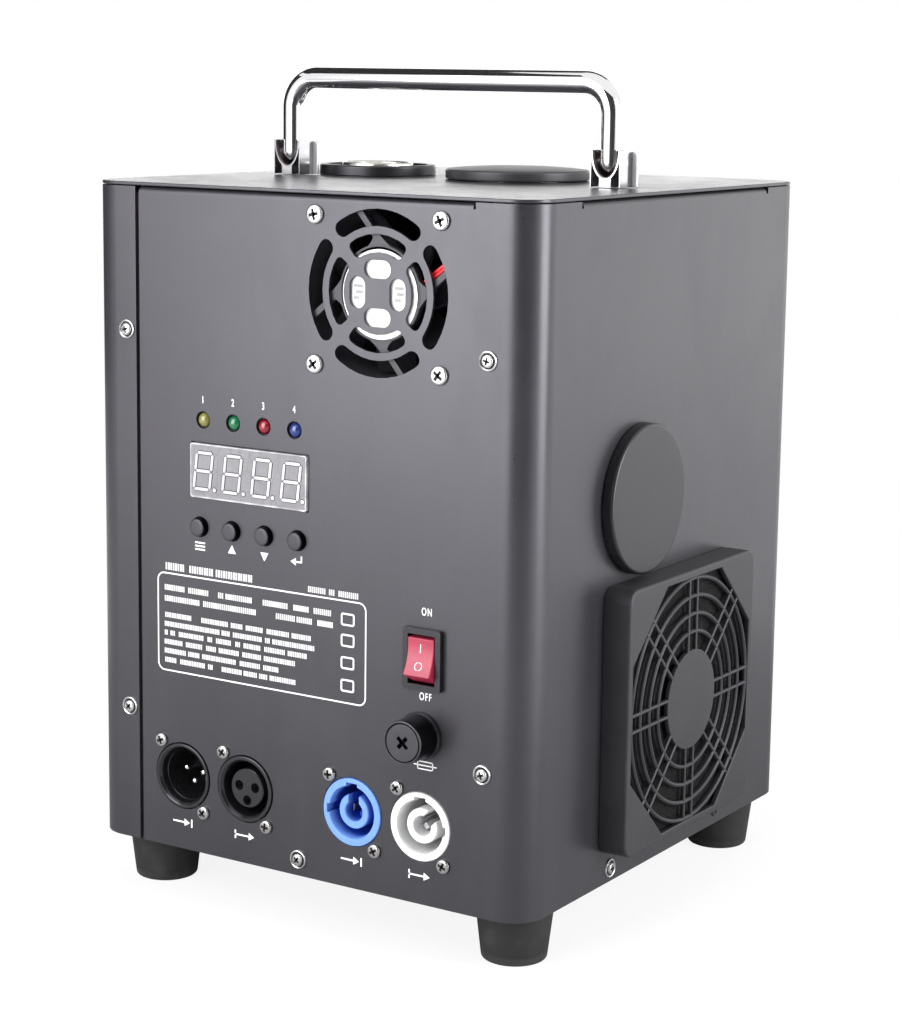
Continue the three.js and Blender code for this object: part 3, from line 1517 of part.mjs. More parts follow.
function heaterCore() {
  const inner = heaterCoreRadius - heaterCoreWall;
  const seat = furnaceJacketRadius - furnaceJacketWall - seatGap;
  const top = furnaceTop - nozzleDepthInFurnace / 2;
  const profile = [
    [furnaceAirHoleRadius, furnaceLow], [seat, furnaceLow], [seat, furnaceLow + heaterCoreWall],
    [heaterCoreRadius, furnaceLow + heaterCoreWall], [heaterCoreRadius, top], [inner, top],
    [inner, furnaceLow + heaterConeHeight], [furnaceAirHoleRadius, furnaceLow],
  ];
  return cut(revolveZ(profile, nozzleX, sparkLineY, hiddenSides), [feedPort(feedPortRadius)]);
}

function heaterCoil() {
  const steps = coilSteps;
  const radius = heaterCoreRadius + seatGap + heaterCoilWire / 2;
  const rings = [];
  const start = furnaceLow + heaterCoreWall + seatGap + heaterCoilWire / 2;
  const total = heaterCoilTurns * steps;
  const sides = wireSides;
  for (let i = 0; i <= total; i += 1) {
    const turn = (2 * Math.PI * i) / steps;
    const outward = new THREE.Vector3(Math.cos(turn), Math.sin(turn), 0);
    const up = new THREE.Vector3(0, 0, 1);
    const centre = new THREE.Vector3(nozzleX, sparkLineY, start + (heaterCoilPitch * i) / steps)
      .addScaledVector(outward, radius + seatGap);
    const ring = [];
    for (let s = 0; s < sides; s += 1) {
      const a = (2 * Math.PI * s) / sides;
      ring.push(centre.clone()
        .addScaledVector(outward, (heaterCoilWire / 2) * Math.cos(a))
        .addScaledVector(up, (heaterCoilWire / 2) * Math.sin(a)));
    }
    rings.push(ring);
  }
  return ringsToGeometry(rings);
}

addPart('furnace_stand', furnaceStand(), zincSheet);
addPart('furnace_jacket', furnaceJacket(), { color: 0xcfc9bb, roughness: 0.95, metalness: 0 });
addPart('furnace_cap', furnaceCap(), steel);
addPart('heater_core', heaterCore(), steel);
addPart('heater_coil', heaterCoil(), { color: 0x7a4b35, roughness: 0.5, metalness: 0.7 });

// Feed: tube from the hopper spout into the furnace, the screw in it and the geared motor
const feedTubeStartX = nozzleX + heaterCoreRadius - heaterCoreWall / 2;

function feedTube() {
  const inner = feedTubeRadius - feedTubeWall;
  const tube = revolveX(ringProfile(inner, feedTubeRadius, feedTubeStartX, feedTubeEndX), sparkLineY,
    feedHeightZ, hiddenSides);
  const mouthRadius = hopperSpoutRadius + hopperWall + seatGap;
  const above = feedHeightZ + 2 * feedTubeRadius;
  const mouth = cylinderZ(mouthRadius, feedHeightZ, above, hopperX, sparkLineY, roundSides);
  return cut(tube, [mouth]);
}

function feedScrew() {
  const end = feedTubeEndX;
  const start = feedTubeStartX + feedTubeWall;
  const length = end - start;
  const stepsPerTurn = finSteps;
  const steps = Math.round((stepsPerTurn * length) / feedScrewPitch);
  const fin = Math.asin(feedScrewFin / 2 / feedScrewCore);
  const tip = Math.asin(feedScrewFin / 2 / feedScrewRadius);
  const section = [
    ...arcPoints(0, 0, feedScrewCore, fin, 2 * Math.PI - fin, finCoreSteps),
    ...arcPoints(0, 0, feedScrewRadius, -tip, tip, 1),
  ];
  const rings = [];
  for (let i = 0; i <= steps; i += 1) {
    const x = start + (length * i) / steps;
    const turn = (2 * Math.PI * (x - start)) / feedScrewPitch;
    rings.push(section.map((p) => {
      const q = p.clone().rotateAround(new THREE.Vector2(), turn);
      return new THREE.Vector3(x, sparkLineY + q.x, feedHeightZ + q.y);
    }));
  }
  const bore = cylinderX(feedScrewCore / 2 + seatGap, end - feedShaftLength, end + overrun, sparkLineY,
    feedHeightZ, smallSides);
  return cut(ringsToGeometry(rings), [bore]);
}

function feedMotor() {
  const face = feedTubeEndX + seatGap;
  const half = feedGearboxSize / 2;
  const end = face + feedGearboxLength + feedMotorLength;
  const outline = roundedRectPoints(sparkLineY, feedHeightZ, 2 * half, 2 * half, feedMotorEdge, edgeSteps);
  const gearbox = prismX(outline, face, face + feedGearboxLength);
  const motor = revolveX([
    [0, face], [feedMotorRadius, face], [feedMotorRadius, end - feedMotorEdge],
    [feedMotorRadius - feedMotorEdge, end], [0, end],
  ], sparkLineY, feedHeightZ, hiddenSides);
  const shaft = cylinderX(feedScrewCore / 2, face - feedShaftLength, face + feedGearboxLength / 2, sparkLineY,
    feedHeightZ, smallSides);
  return join([gearbox, motor, shaft]);
}

addPart('feed_tube', feedTube(), steel);
addPart('feed_screw', feedScrew(), steel);
addPart('feed_motor', feedMotor(), zincSheet);

// Blower: scroll housing with its outlet under the furnace, and the wheel inside it
const blowerNearY = sparkLineY - blowerThickness / 2;
const blowerFarY = sparkLineY + blowerThickness / 2;
const blowerOutletTop = furnaceShelfHeight - furnaceStandThickness - seatGap;

function scrollOutline(inset, top) {
  const points = [];
  const from = blowerTongueAngle;
  const to = -Math.PI;
  const steps = scrollSteps;
  for (let i = 0; i <= steps; i += 1) {
    const share = i / steps;
    const a = from + (to - from) * share;
    const radius = blowerStartRadius + (blowerEndRadius - blowerStartRadius) * share - inset;
    points.push(new THREE.Vector2(blowerX + radius * Math.cos(a), blowerZ + radius * Math.sin(a)));
  }
  const left = blowerX - blowerEndRadius;
  points.push(new THREE.Vector2(left + inset, top));
  points.push(new THREE.Vector2(left + blowerOutletWidth - inset, top));
  return points;
}

function blowerHousing() {
  const outer = prismY(scrollOutline(0, blowerOutletTop), blowerNearY, blowerFarY);
  const inner = prismY(scrollOutline(blowerWall, blowerOutletTop + overrun), blowerNearY + blowerWall,
    blowerFarY - blowerWall);
  const inlet = cylinderY(blowerInletRadius, blowerNearY - overrun, blowerNearY + blowerWall + overrun / 2,
    blowerX, blowerZ, roundSides);
  const shaft = cylinderY(fanShaftRadius, blowerNearY + blowerThickness / 2, blowerFarY, blowerX, blowerZ,
    smallSides);
  const motor = cylinderY(blowerMotorRadius, blowerFarY - blowerWall / 2, blowerFarY + blowerMotorLength,
    blowerX, blowerZ, hiddenSides);
  const footPlate = boxBetween(blowerX - blowerFootWidth / 2, blowerX + blowerFootWidth / 2, blowerNearY,
    blowerFarY, floorZ, floorZ + blowerFootHeight);
  return join([cut(join([outer, footPlate]), [inner, inlet]), shaft, motor]);
}

function blowerWheel() {
  const near = blowerNearY + blowerWall + blowerWheelGap;
  const far = blowerFarY - blowerWall - blowerWheelGap;
  const backDisc = far - blowerDiscThickness;
  const shaftTip = blowerNearY + blowerThickness / 2 - seatGap;
  const hub = revolveY([
    [0, shaftTip - blowerDiscThickness], [2 * fanShaftRadius, shaftTip - blowerDiscThickness],
    [2 * fanShaftRadius, backDisc], [blowerWheelRadius, backDisc], [blowerWheelRadius, far],
    [fanShaftRadius + seatGap, far], [fanShaftRadius + seatGap, shaftTip], [0, shaftTip],
  ], blowerX, blowerZ, hiddenSides);
  const rimProfile = ringProfile(blowerWheelInnerRadius, blowerWheelRadius, near, near + blowerDiscThickness);
  const rim = revolveY(rimProfile, blowerX, blowerZ, hiddenSides);
  const blades = [];
  for (let i = 0; i < blowerBladeCount; i += 1) {
    blades.push(boxBetween(blowerWheelInnerRadius + seatGap, blowerWheelRadius - seatGap,
      near + blowerDiscThickness / 2, backDisc + blowerDiscThickness / 2, -blowerBladeThickness / 2,
      blowerBladeThickness / 2)
      .translate(-blowerWheelInnerRadius, 0, 0)
      .rotateY(-blowerBladeLean)
      .translate(blowerWheelInnerRadius, 0, 0)
      .rotateY((2 * Math.PI * i) / blowerBladeCount)
      .translate(blowerX, 0, blowerZ));
  }
  return join([hub, rim, ...blades]);
}

addPart('blower_housing', blowerHousing(), blackPlastic);
addPart('blower_wheel', blowerWheel(), blackPlastic);

// Power supply on the base plate and main board on the back wall
function powerSupply() {
  const height = supplyHeight;
  const outline = roundedRectPoints(supplyLeftX + supplyWidth / 2, floorZ + height / 2, supplyWidth, height,
    supplyEdge, edgeSteps);
  const box = prismY(outline, supplyFrontY, supplyFrontY + supplyLength);
  const ledge = height / 2;
  const terminal = boxBetween(supplyLeftX + supplyEdge, supplyLeftX + supplyWidth - supplyEdge,
    supplyFrontY - overrun, supplyFrontY + ledge, floorZ + ledge, floorZ + height + overrun);
  return cut(box, [terminal]);
}

function mainBoard() {
  const wall = housingDepth - sheetThickness - seatGap;
  const face = wall - mainBoardStandOff;
  const left = mainBoardX - mainBoardWidth / 2;
  const right = mainBoardX + mainBoardWidth / 2;
  const low = mainBoardZ - mainBoardHeight / 2;
  const high = mainBoardZ + mainBoardHeight / 2;
  const front = face - boardThickness;
  const inset = mainBoardPillarInset;
  const plate = boxBetween(left, right, front, face, low, high);
  const pillars = [left + inset, right - inset].flatMap((x) => [low + inset, high - inset].map((z) => (
    cylinderY(mainBoardPillarRadius, front, wall, x, z, pillarSides)
  )));
  const sinkLeft = left + 2 * inset;
  const sinkBase = boxBetween(sinkLeft, sinkLeft + heatSinkWidth, front - heatSinkBase, face,
    mainBoardZ - heatSinkHeight / 2, mainBoardZ + heatSinkHeight / 2);
  const fins = [];
  for (let i = 0; i < heatSinkFinCount; i += 1) {
    const x = sinkLeft + ((heatSinkWidth - heatSinkFinThickness) * i) / (heatSinkFinCount - 1);
    fins.push(boxBetween(x, x + heatSinkFinThickness, front - heatSinkBase - heatSinkFinHeight, face,
      mainBoardZ - heatSinkHeight / 2, mainBoardZ + heatSinkHeight / 2));
  }
  const capacitors = [-1, 1].map((side) => cylinderY(capacitorRadius, front - capacitorHeight, face,
    right - capacitorInset, mainBoardZ + side * capacitorInset, smallSides));
  return join([plate, ...pillars, sinkBase, ...fins, ...capacitors]);
}

addPart('power_supply', powerSupply(), zincSheet);
addPart('main_board', mainBoard(), { color: 0x1f5a38, roughness: 0.5, metalness: 0 });

// Red lead of the exhaust fan: out beside a strut, through a notch in the frame, back to the main board
function leadRoute() {
  const y = innerFace + seatGap + leadLineDepth;
  const c = Math.cos(fanStrutLean);
  const s = Math.sin(fanStrutLean);
  const strutPoint = (along) => new THREE.Vector3(
    exhaustFanX + exhaustMotorRadius + along * c - leadStrutOffset * s,
    y,
    exhaustFanZ + along * s + leadStrutOffset * c,
  );
  const side = exhaustFanX + exhaustFanSize / 2;
  const z = exhaustFanZ + leadNotchZ;
  const bend = side + leadBend;
  const fanBack = innerFace + seatGap + exhaustFanDepth;
  const boardY = housingDepth - sheetThickness - seatGap - mainBoardStandOff - boardThickness - seatGap;
  const onBoard = boardY - leadDiameter / 2;
  const boardTop = mainBoardZ + mainBoardHeight / 2;
  const boardX = mainBoardX + mainBoardWidth / 2 - leadBoardReach;
  return [
    strutPoint(leadStart),
    strutPoint(leadStrutEnd),
    new THREE.Vector3(side - leadDiameter, y, z),
    new THREE.Vector3(side + leadDiameter, y, z),
    new THREE.Vector3(bend, y + leadBend, z),
    new THREE.Vector3(bend, fanBack, z),
    new THREE.Vector3(bend, (fanBack + boardY) / 2, z),
    new THREE.Vector3(bend - leadBend, onBoard - leadBoardReach, z - leadBoardReach),
    new THREE.Vector3(boardX + leadBend, onBoard - leadDiameter / 2, boardTop + leadBend),
    new THREE.Vector3(boardX, onBoard, boardTop - leadBoardDrop),
  ];
}

function fanLead() {
  const curve = new THREE.CatmullRomCurve3(leadRoute(), false, 'centripetal');
  const section = new THREE.Shape(circlePoints(0, 0, leadDiameter / 2, leadSides));
  return new THREE.ExtrudeGeometry(section, { steps: leadSteps, extrudePath: curve, bevelEnabled: false });
}

addPart('fan_lead', fanLead(), { color: 0xb01c1c, roughness: 0.45, metalness: 0 });

// Origin: middle of the footprint, on the resting surface
const reachRight = coverProud + seatGap;
const reachFront = -(fuseCapBack - fuseCapLength);
machine.position.set(-reachRight / 2, -(housingDepth - reachFront) / 2, footHeight);

const coldSparkMachine = new THREE.Group();
coldSparkMachine.add(machine);

export default coldSparkMachine;
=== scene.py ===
import json
import math
from contextlib import contextmanager

import bmesh
import bpy
from mathutils import Matrix, Vector


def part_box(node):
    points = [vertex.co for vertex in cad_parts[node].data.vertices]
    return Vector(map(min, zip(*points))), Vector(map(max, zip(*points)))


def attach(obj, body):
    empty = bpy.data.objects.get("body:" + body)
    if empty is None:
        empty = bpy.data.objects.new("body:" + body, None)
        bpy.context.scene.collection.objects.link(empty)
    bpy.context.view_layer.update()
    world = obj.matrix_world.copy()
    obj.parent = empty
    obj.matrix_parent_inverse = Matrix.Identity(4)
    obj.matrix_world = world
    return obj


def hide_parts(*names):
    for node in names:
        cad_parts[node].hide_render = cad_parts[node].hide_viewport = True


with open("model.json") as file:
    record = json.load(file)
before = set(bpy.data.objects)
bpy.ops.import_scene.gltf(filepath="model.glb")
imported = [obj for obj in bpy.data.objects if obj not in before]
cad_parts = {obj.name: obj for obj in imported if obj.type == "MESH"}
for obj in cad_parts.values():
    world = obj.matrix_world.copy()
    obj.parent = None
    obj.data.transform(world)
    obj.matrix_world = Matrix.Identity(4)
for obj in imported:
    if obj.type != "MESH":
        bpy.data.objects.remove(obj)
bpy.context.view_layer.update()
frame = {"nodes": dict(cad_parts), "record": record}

bl_info = {
    "name": "Cold spark machine",
    "version": (1, 0, 0),
    "blender": (4, 5, 0),
    "location": "3D View > Sidebar > Spark",
    "description": "Dresses the cold spark machine with modelled pieces and finishes",
    "category": "Object",
}

MM = 0.001

# The housing's own frame: X 0 mid control panel, Y 0 on its face, Z 0 at the walls' lower edge
SHELL_LOW, SHELL_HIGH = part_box("wrap_shell")
COVER_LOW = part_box("left_cover")[0]
HOUSING = Vector(((COVER_LOW.x + SHELL_HIGH.x) / 2, SHELL_LOW.y, SHELL_LOW.z))

# Sheets
HALF = 92.5  # half of the width
DEPTH = 194.0
WALL_TOP = 236.7
PLATE_TOP = 238.2
SEAT = 238.5  # foot of the fittings on the roof
SHEET = 1.2  # thickness
FOLD = 2.2  # outer radius of the folds
PANEL_LEFT = -69.6  # the two sides of the seam
STRIP_RIGHT = -71.2

# Centres on the control panel, as X and Z
DISPLAY = (-21.2, 139.1)
SWITCH = (52.0, 85.2)
FUSE = (51.0, 58.8)
EXHAUST = (31.8, 205.3)
SOCKETS = (-51.1, -23.1, 23.1, 51.1)
SOCKET_Z = 27.2
COLUMN = -21.6
LIGHTS = [COLUMN + (i - 1.5) * 13.13 for i in range(4)]
LIGHT_Z = 156.9
BUTTONS = [COLUMN + (i - 1.5) * 14.13 for i in range(4)]
BUTTON_Z = 119.0

# Handle: X of its legs, and Y and Z of its pins
LEG = 68.7
PIVOT = (89.0, 247.0)

# Right-hand wall, as Y and Z, and the filter cover's back and front, as X
INTAKE = (95.3, 58.8)
PORT = (71.3, 133.7)
COVER_BACK = 92.8
COVER_FRONT = 103.2
WALL_SCREW = (56.8, 5.0)

# Roof, as X and Y
OUTLET = (-49.3, 117.0)
HOPPER = (13.6, 117.0)

# Fans
FAN_FACE = 1.5  # Y of the exhaust fan's near face
EXHAUST_HALF = 29.7  # half of its frame
EXHAUST_MOUNT = 16.2  # radii of the motor mounts
INTAKE_MOUNT = 23.0
STRUT_LEAN = 39.5  # in degrees


# Finishes


class Reading:
    """A socket's value while a finish is worked out, so that shader maths reads as plain expressions."""

    def __init__(self, finish, socket):
        self.finish = finish
        self.socket = socket

    def maths(self, operation, *values):
        inputs = dict(enumerate(values))
        return self.finish.read("ShaderNodeMath", 0, {"operation": operation}, inputs)

    def __add__(self, other):
        return self.maths("ADD", self, other)

    def __sub__(self, other):
        return self.maths("SUBTRACT", self, other)

    def __rsub__(self, other):
        return self.maths("SUBTRACT", other, self)

    def __mul__(self, other):
        return self.maths("MULTIPLY", self, other)

    __radd__ = __add__
    __rmul__ = __mul__

    def clipped(self):
        return self.finish.read(
            "ShaderNodeMath", 0, {"operation": "ADD", "use_clamp": True}, {0: self, 1: 0.0}
        )

    def between(self, low, high):
        """0 below low, 1 above high, and a smooth step between them."""
        settings = {"interpolation_type": "SMOOTHSTEP"}
        return self.finish.read(
            "ShaderNodeMapRange", 0, settings, {0: self, 1: low, 2: high, 3: 0.0, 4: 1.0}
        )


class Finish:
    """A procedural material on the Principled shader, worked out in Object coordinates."""

    def __init__(self, name):
        self.material = bpy.data.materials.new(name)
        self.material.use_nodes = True
        self.tree = self.material.node_tree
        self.tree.nodes.clear()
        self.output = self.node("ShaderNodeOutputMaterial")
        self.shader = self.node("ShaderNodeBsdfPrincipled")
        self.tree.links.new(self.shader.outputs[0], self.output.inputs["Surface"])
        self.point = self.read("ShaderNodeTexCoord", "Object")

    def fill(self, socket, value):
        """Links a reading to the socket, or sets a plain value."""
        if isinstance(value, Reading):
            self.tree.links.new(value.socket, socket)
        elif isinstance(value, tuple) and len(value) == 3 and len(socket.default_value) == 4:
            socket.default_value = (*value, 1.0)
        else:
            socket.default_value = value

    def node(self, kind, settings=None, inputs=None):
        made = self.tree.nodes.new(kind)
        for key, value in (settings or {}).items():
            setattr(made, key, value)
        for key, value in (inputs or {}).items():
            self.fill(made.inputs[key], value)
        return made

    def read(self, kind, output, settings=None, inputs=None):
        return Reading(self, self.node(kind, settings, inputs).outputs[output])

    def mapped(self, scale=(1, 1, 1)):
        return self.read("ShaderNodeMapping", 0, None, {"Vector": self.point, "Scale": scale})

    def noise(self, size, detail=3.0, rough=0.5, stretch=(1, 1, 1)):
        """Soft random pattern whose blotches are about size mm across, from 0 to 1."""
        inputs = {
            "Vector": self.mapped(stretch),
            "Scale": 1 / (size * MM),
            "Detail": detail,
            "Roughness": rough,
        }
        return self.read("ShaderNodeTexNoise", 0, None, inputs)

    def cells(self, size, feature="F1", stretch=(1, 1, 1)):
        """Distance to random points about size mm apart, or to the edges between them."""
        inputs = {"Vector": self.mapped(stretch), "Scale": 1 / (size * MM)}
        return self.read("ShaderNodeTexVoronoi", 0, {"feature": feature}, inputs)

    def along(self, axis):
        """One coordinate of the surface point, in mm."""
        parts = self.node("ShaderNodeSeparateXYZ", None, {0: self.point})
        return Reading(self, parts.outputs[axis]) * (1 / MM)

    def tint(self, factor, low, high):
        """The low colour where the factor is 0, and the high one where it is 1."""
        settings = {"data_type": "RGBA", "clamp_factor": True}
        mixer = self.node("ShaderNodeMix", settings, {0: factor, 6: low, 7: high})
        return Reading(self, mixer.outputs[2])

    def bump(self, height, depth, strength):
        """Surface relief about depth mm deep."""
        inputs = {"Height": height, "Distance": depth * MM, "Strength": strength}
        return self.read("ShaderNodeBump", 0, None, inputs)

    def set(self, **sockets):
        for key, value in sockets.items():
            self.fill(self.shader.inputs[key.replace("_", " ").title().replace("Ior", "IOR")], value)
        return self.material


# Tint of what dark paint and plastic mirror
COOL = (0.93, 0.915, 1.0)


def shade(colour, share):
    """A lighter or darker form of a colour."""
    return tuple(min(1.0, c * share) for c in colour[:3])


def black_sheet(name):
    """Dark satin powder coat: orange peel, rolled grain, uneven sheen, scuffs, and a glossier right bend."""
    coat = Finish(name)
    colour = tuple(bpy.context.scene.spark_colours.sheet)
    peel = coat.noise(0.9, 2.0, 0.5)
    patches = coat.noise(46.0, 3.0, 0.6)
    grain = coat.noise(0.7, 3.0, 0.6, (0.03, 0.03, 1.0))
    scuffs = coat.noise(5.0, 5.0, 0.75, (1.0, 1.0, 0.15)).between(0.66, 0.78)
    dust = coat.noise(0.35, 1.0, 0.5).between(0.70, 0.80)
    streaks = coat.noise(4.0, 4.0, 0.65, (1.0, 1.0, 0.05))
    smears = coat.noise(26.0, 5.0, 0.7, (1.0, 1.0, 0.55)).between(0.42, 0.68)
    tone = patches * 0.45 + grain * 0.2 + peel * 0.15 + streaks * 0.2
    base = coat.tint(tone.between(0.30, 0.70), shade(colour, 0.84), shade(colour, 1.14))
    base = coat.tint(scuffs * 0.12 + dust * 0.10, base, shade(colour, 2.2))
    rough = 0.22 + patches * 0.08 + streaks * 0.08 + smears * 0.05
    rough = rough + grain * 0.04 + dust * 0.12 - scuffs * 0.04
    right = HOUSING.x / MM + HALF
    front = HOUSING.y / MM
    across = coat.along("X").between(right - 13, right - 7)
    bend = across * coat.along("Y").between(front + 13.5, front + 11.5)
    rough = rough - bend * 0.03
    normal = coat.bump(peel * 0.7 + grain * 0.3, 0.03, 0.35)
    return coat.set(
        base_color=base, roughness=rough, specular_ior_level=0.64, specular_tint=COOL, normal=normal
    )


def moulded(name, colour, rough, grain=0.5, depth=0.03, lift=1.8, sheen=0.5, flanks=None):
    """Moulded plastic: eroded grain, soft flow marks and pale specks; painted shade on the flanks, which lie
    behind two depths in mm.
    """
    skin = Finish(name)
    colour = tuple(colour)
    fine = skin.noise(grain, 3.0, 0.6)
    flow = skin.noise(14.0, 4.0, 0.6)
    specks = skin.noise(grain * 0.6, 1.0, 0.5).between(0.68, 0.80)
    base = skin.tint(flow.between(0.25, 0.75), shade(colour, 0.86), shade(colour, 1.14))
    base = skin.tint(specks * 0.18, base, shade(colour, lift))
    roughness = rough - 0.07 + flow * 0.12 + fine * 0.05
    normal = skin.bump(fine, depth, 0.4)
    if flanks:
        # Painted shade: the flanks turn near-black and metallic.
        below = (skin.along("Y") - HOUSING.y / MM).between(*flanks)
        base = skin.tint(below, base, (0.004, 0.004, 0.005))
        skin.set(metallic=below * 0.9)
    return skin.set(
        base_color=base,
        roughness=roughness,
        specular_ior_level=sheen,
        specular_tint=COOL,
        normal=normal,
    )


def black_plastic(name):
    return moulded(name, bpy.context.scene.spark_colours.plastic, 0.33)


def gloss_plastic(name):
    """Polished socket plastic, with light lines along its lips."""
    return moulded(name, bpy.context.scene.spark_colours.plastic, 0.24, depth=0.015, sheen=0.6)


def key_plastic(name):
    """Satin plastic of the push buttons, with painted shade on their flanks."""
    colour = (0.030, 0.030, 0.033)
    return moulded(name, colour, 0.34, grain=0.4, depth=0.015, sheen=0.42, flanks=(-2.12, -1.9))


def knob_plastic(name):
    """Plastic of the fuse cap, with painted shade on its flank."""
    return moulded(name, (0.022, 0.022, 0.024), 0.36, sheen=0.6, flanks=(-11.1, -10.8))


def rotor_plastic(name):
    return moulded(name, (0.007, 0.007, 0.008), 0.55, grain=0.4)


def label_ink(name):
    return moulded(name, (0.10, 0.10, 0.11), 0.5, grain=0.3, depth=0.01, lift=2.5)


def lid_plastic(name):
    return moulded(name, (0.030, 0.030, 0.031), 0.40, grain=0.4)


def filter_plastic(name):
    """Satin cover plastic, a little lighter than the sockets."""
    return moulded(name, bpy.context.scene.spark_colours.cover, 0.46, grain=0.45)


def fan_plastic(name):
    return moulded(name, (0.040, 0.040, 0.043), 0.50, grain=0.4)


def rubber(name):
    """Matt foot rubber: dusty, with moulding rings."""
    skin = Finish(name)
    fine = skin.noise(0.5, 4.0, 0.65)
    dust = skin.noise(7.0, 4.0, 0.6).between(0.45, 0.75)
    rings = skin.noise(1.1, 2.0, 0.5, (0.05, 0.05, 1.0))
    base = skin.tint(dust * 0.6 + fine * 0.2, (0.012, 0.012, 0.012), (0.028, 0.028, 0.029))
    rough = 0.60 + dust * 0.12 + rings * 0.06
    normal = skin.bump(fine * 0.5 + rings * 0.5, 0.05, 0.4)
    return skin.set(base_color=base, roughness=rough, specular_ior_level=0.4, normal=normal)


def chrome(name):
    """Bright chrome plate: mirror with faint haze, hairlines and a trace of plating ripple."""
    plate = Finish(name)
    haze = plate.noise(9.0, 4.0, 0.6)
    hair = plate.noise(0.8, 4.0, 0.7, (0.08, 1.0, 1.0)).between(0.62, 0.72)
    ripple = plate.noise(3.5, 2.0, 0.5)
    base = plate.tint(haze, (0.80, 0.80, 0.82), (0.93, 0.93, 0.94))
    rough = 0.035 + haze * 0.03 + hair * 0.06
    normal = plate.bump(ripple, 0.02, 0.12)
    return plate.set(base_color=base, metallic=1.0, roughness=rough, normal=normal)


def smoked_chrome(name):
    """Plating of the lining inside the cups: dim and brown as painted shade of the hollow, with mottled
    marks.
    """
    plate = Finish(name)
    lining_mottle = plate.noise(1.6, 4.0, 0.6)
    spots = plate.noise(4.0, 3.0, 0.6).between(0.4, 0.65)
    # Painted shade: the whole base stays dim and brown.
    base = plate.tint(lining_mottle, (0.05, 0.045, 0.045), (0.16, 0.14, 0.135))
    base = plate.tint(spots * 0.5, base, (0.26, 0.21, 0.20))
    rough = 0.22 + lining_mottle * 0.2
    return plate.set(base_color=base, metallic=0.9, roughness=rough, normal=plate.bump(lining_mottle, 0.03, 0.3))


def brushed_steel(name, colour, rough, stretch=(0.06, 1.0, 1.0)):
    """Worked steel with tool lines, stains and worn spots."""
    steel = Finish(name)
    lines = steel.noise(0.4, 3.0, 0.6, stretch)
    stain = steel.noise(12.0, 4.0, 0.6)
    base = steel.tint(stain * 0.6 + lines * 0.4, shade(colour, 0.78), shade(colour, 1.15))
    roughness = rough - 0.06 + stain * 0.12 + lines * 0.08
    normal = steel.bump(lines, 0.015, 0.35)
    return steel.set(base_color=base, metallic=1.0, roughness=roughness, normal=normal)


def cast_chrome(name):
    """Darker plating on the cast cups of the handle."""
    return brushed_steel(name, (0.50, 0.50, 0.515), 0.1, (0.3, 1.0, 1.0))


def satin_chrome(name):
    """Dull pale plating on the lugs behind the cups."""
    return brushed_steel(name, (0.78, 0.78, 0.80), 0.42, (1.0, 1.0, 0.1))


def steel(name):
    return brushed_steel(name, (0.50, 0.50, 0.51), 0.32)


def nozzle_steel(name):
    """Bright turned nozzle with a trace of straw from its heat."""
    return brushed_steel(name, (0.70, 0.68, 0.64), 0.22, (0.4, 0.4, 1.0))


def bright_screw(name):
    return brushed_steel(name, (0.62, 0.61, 0.61), 0.24, (0.3, 0.3, 0.3))


def dull_screw(name):
    return brushed_steel(name, (0.50, 0.485, 0.48), 0.2, (0.3, 1.0, 1.0))


def dark_recess(name):
    """Dull black: painted shade in the screws' recesses and washer gaps, and the dark lines round the
    display's digits.
    """
    return moulded(name, (0.006, 0.006, 0.006), 0.5, grain=0.3, depth=0.01, lift=3.0, sheen=0.3)


def zinc_sheet(name):
    """Galvanised sheet with its spangle."""
    zinc = Finish(name)
    spangle = zinc.read(
        "ShaderNodeTexVoronoi", "Color", None, {"Vector": zinc.mapped(), "Scale": 1 / (6 * MM)}
    )
    value = zinc.read("ShaderNodeSeparateColor", 0, None, {0: spangle})
    stain = zinc.noise(20.0, 4.0, 0.6)
    base = zinc.tint(value * 0.7 + stain * 0.3, (0.42, 0.43, 0.44), (0.66, 0.67, 0.68))
    rough = 0.30 + value * 0.18 + stain * 0.06
    normal = zinc.bump(zinc.noise(0.6, 3.0, 0.5), 0.02, 0.3)
    return zinc.set(base_color=base, metallic=0.9, roughness=rough, normal=normal)


def foam(name):
    """Open-cell filter foam: black webs round pores with painted shade in them, and lint on the face."""
    cell = Finish(name)
    # Painted shade in the pores: near-black away from the webs.
    pore_shade = cell.cells(0.95, "DISTANCE_TO_EDGE").between(0.02, 0.16)
    small = cell.cells(0.5, "F1").between(0.15, 0.6)
    lint = cell.noise(2.2, 4.0, 0.7).between(0.62, 0.74)
    base = cell.tint(pore_shade * 0.7 + small * 0.3, (0.020, 0.020, 0.021), (0.001, 0.001, 0.001))
    base = cell.tint(lint * 0.3, base, (0.055, 0.054, 0.053))
    rough = 0.85 + lint * 0.1
    normal = cell.bump(1 - pore_shade, 0.6, 0.8)
    return cell.set(base_color=base, roughness=rough, specular_ior_level=0.2, normal=normal)


def lens(name, colour):
    """Tinted light lens with faint mould swirl."""
    glass = Finish(name)
    swirl = glass.noise(1.2, 3.0, 0.5)
    fine = glass.noise(0.3, 2.0, 0.5)
    base = glass.tint(swirl * 0.8 + fine * 0.2, shade(colour, 0.65), shade(colour, 1.35))
    rough = 0.13 + swirl * 0.08
    normal = glass.bump(fine, 0.01, 0.2)
    return glass.set(base_color=base, roughness=rough, coat_weight=0.6, normal=normal)


def led_yellow(name):
    return lens(name, (0.16, 0.155, 0.040))


def led_green(name):
    return lens(name, (0.006, 0.115, 0.045))


def led_red(name):
    return lens(name, (0.19, 0.005, 0.015))


def led_blue(name):
    return lens(name, (0.012, 0.026, 0.15))


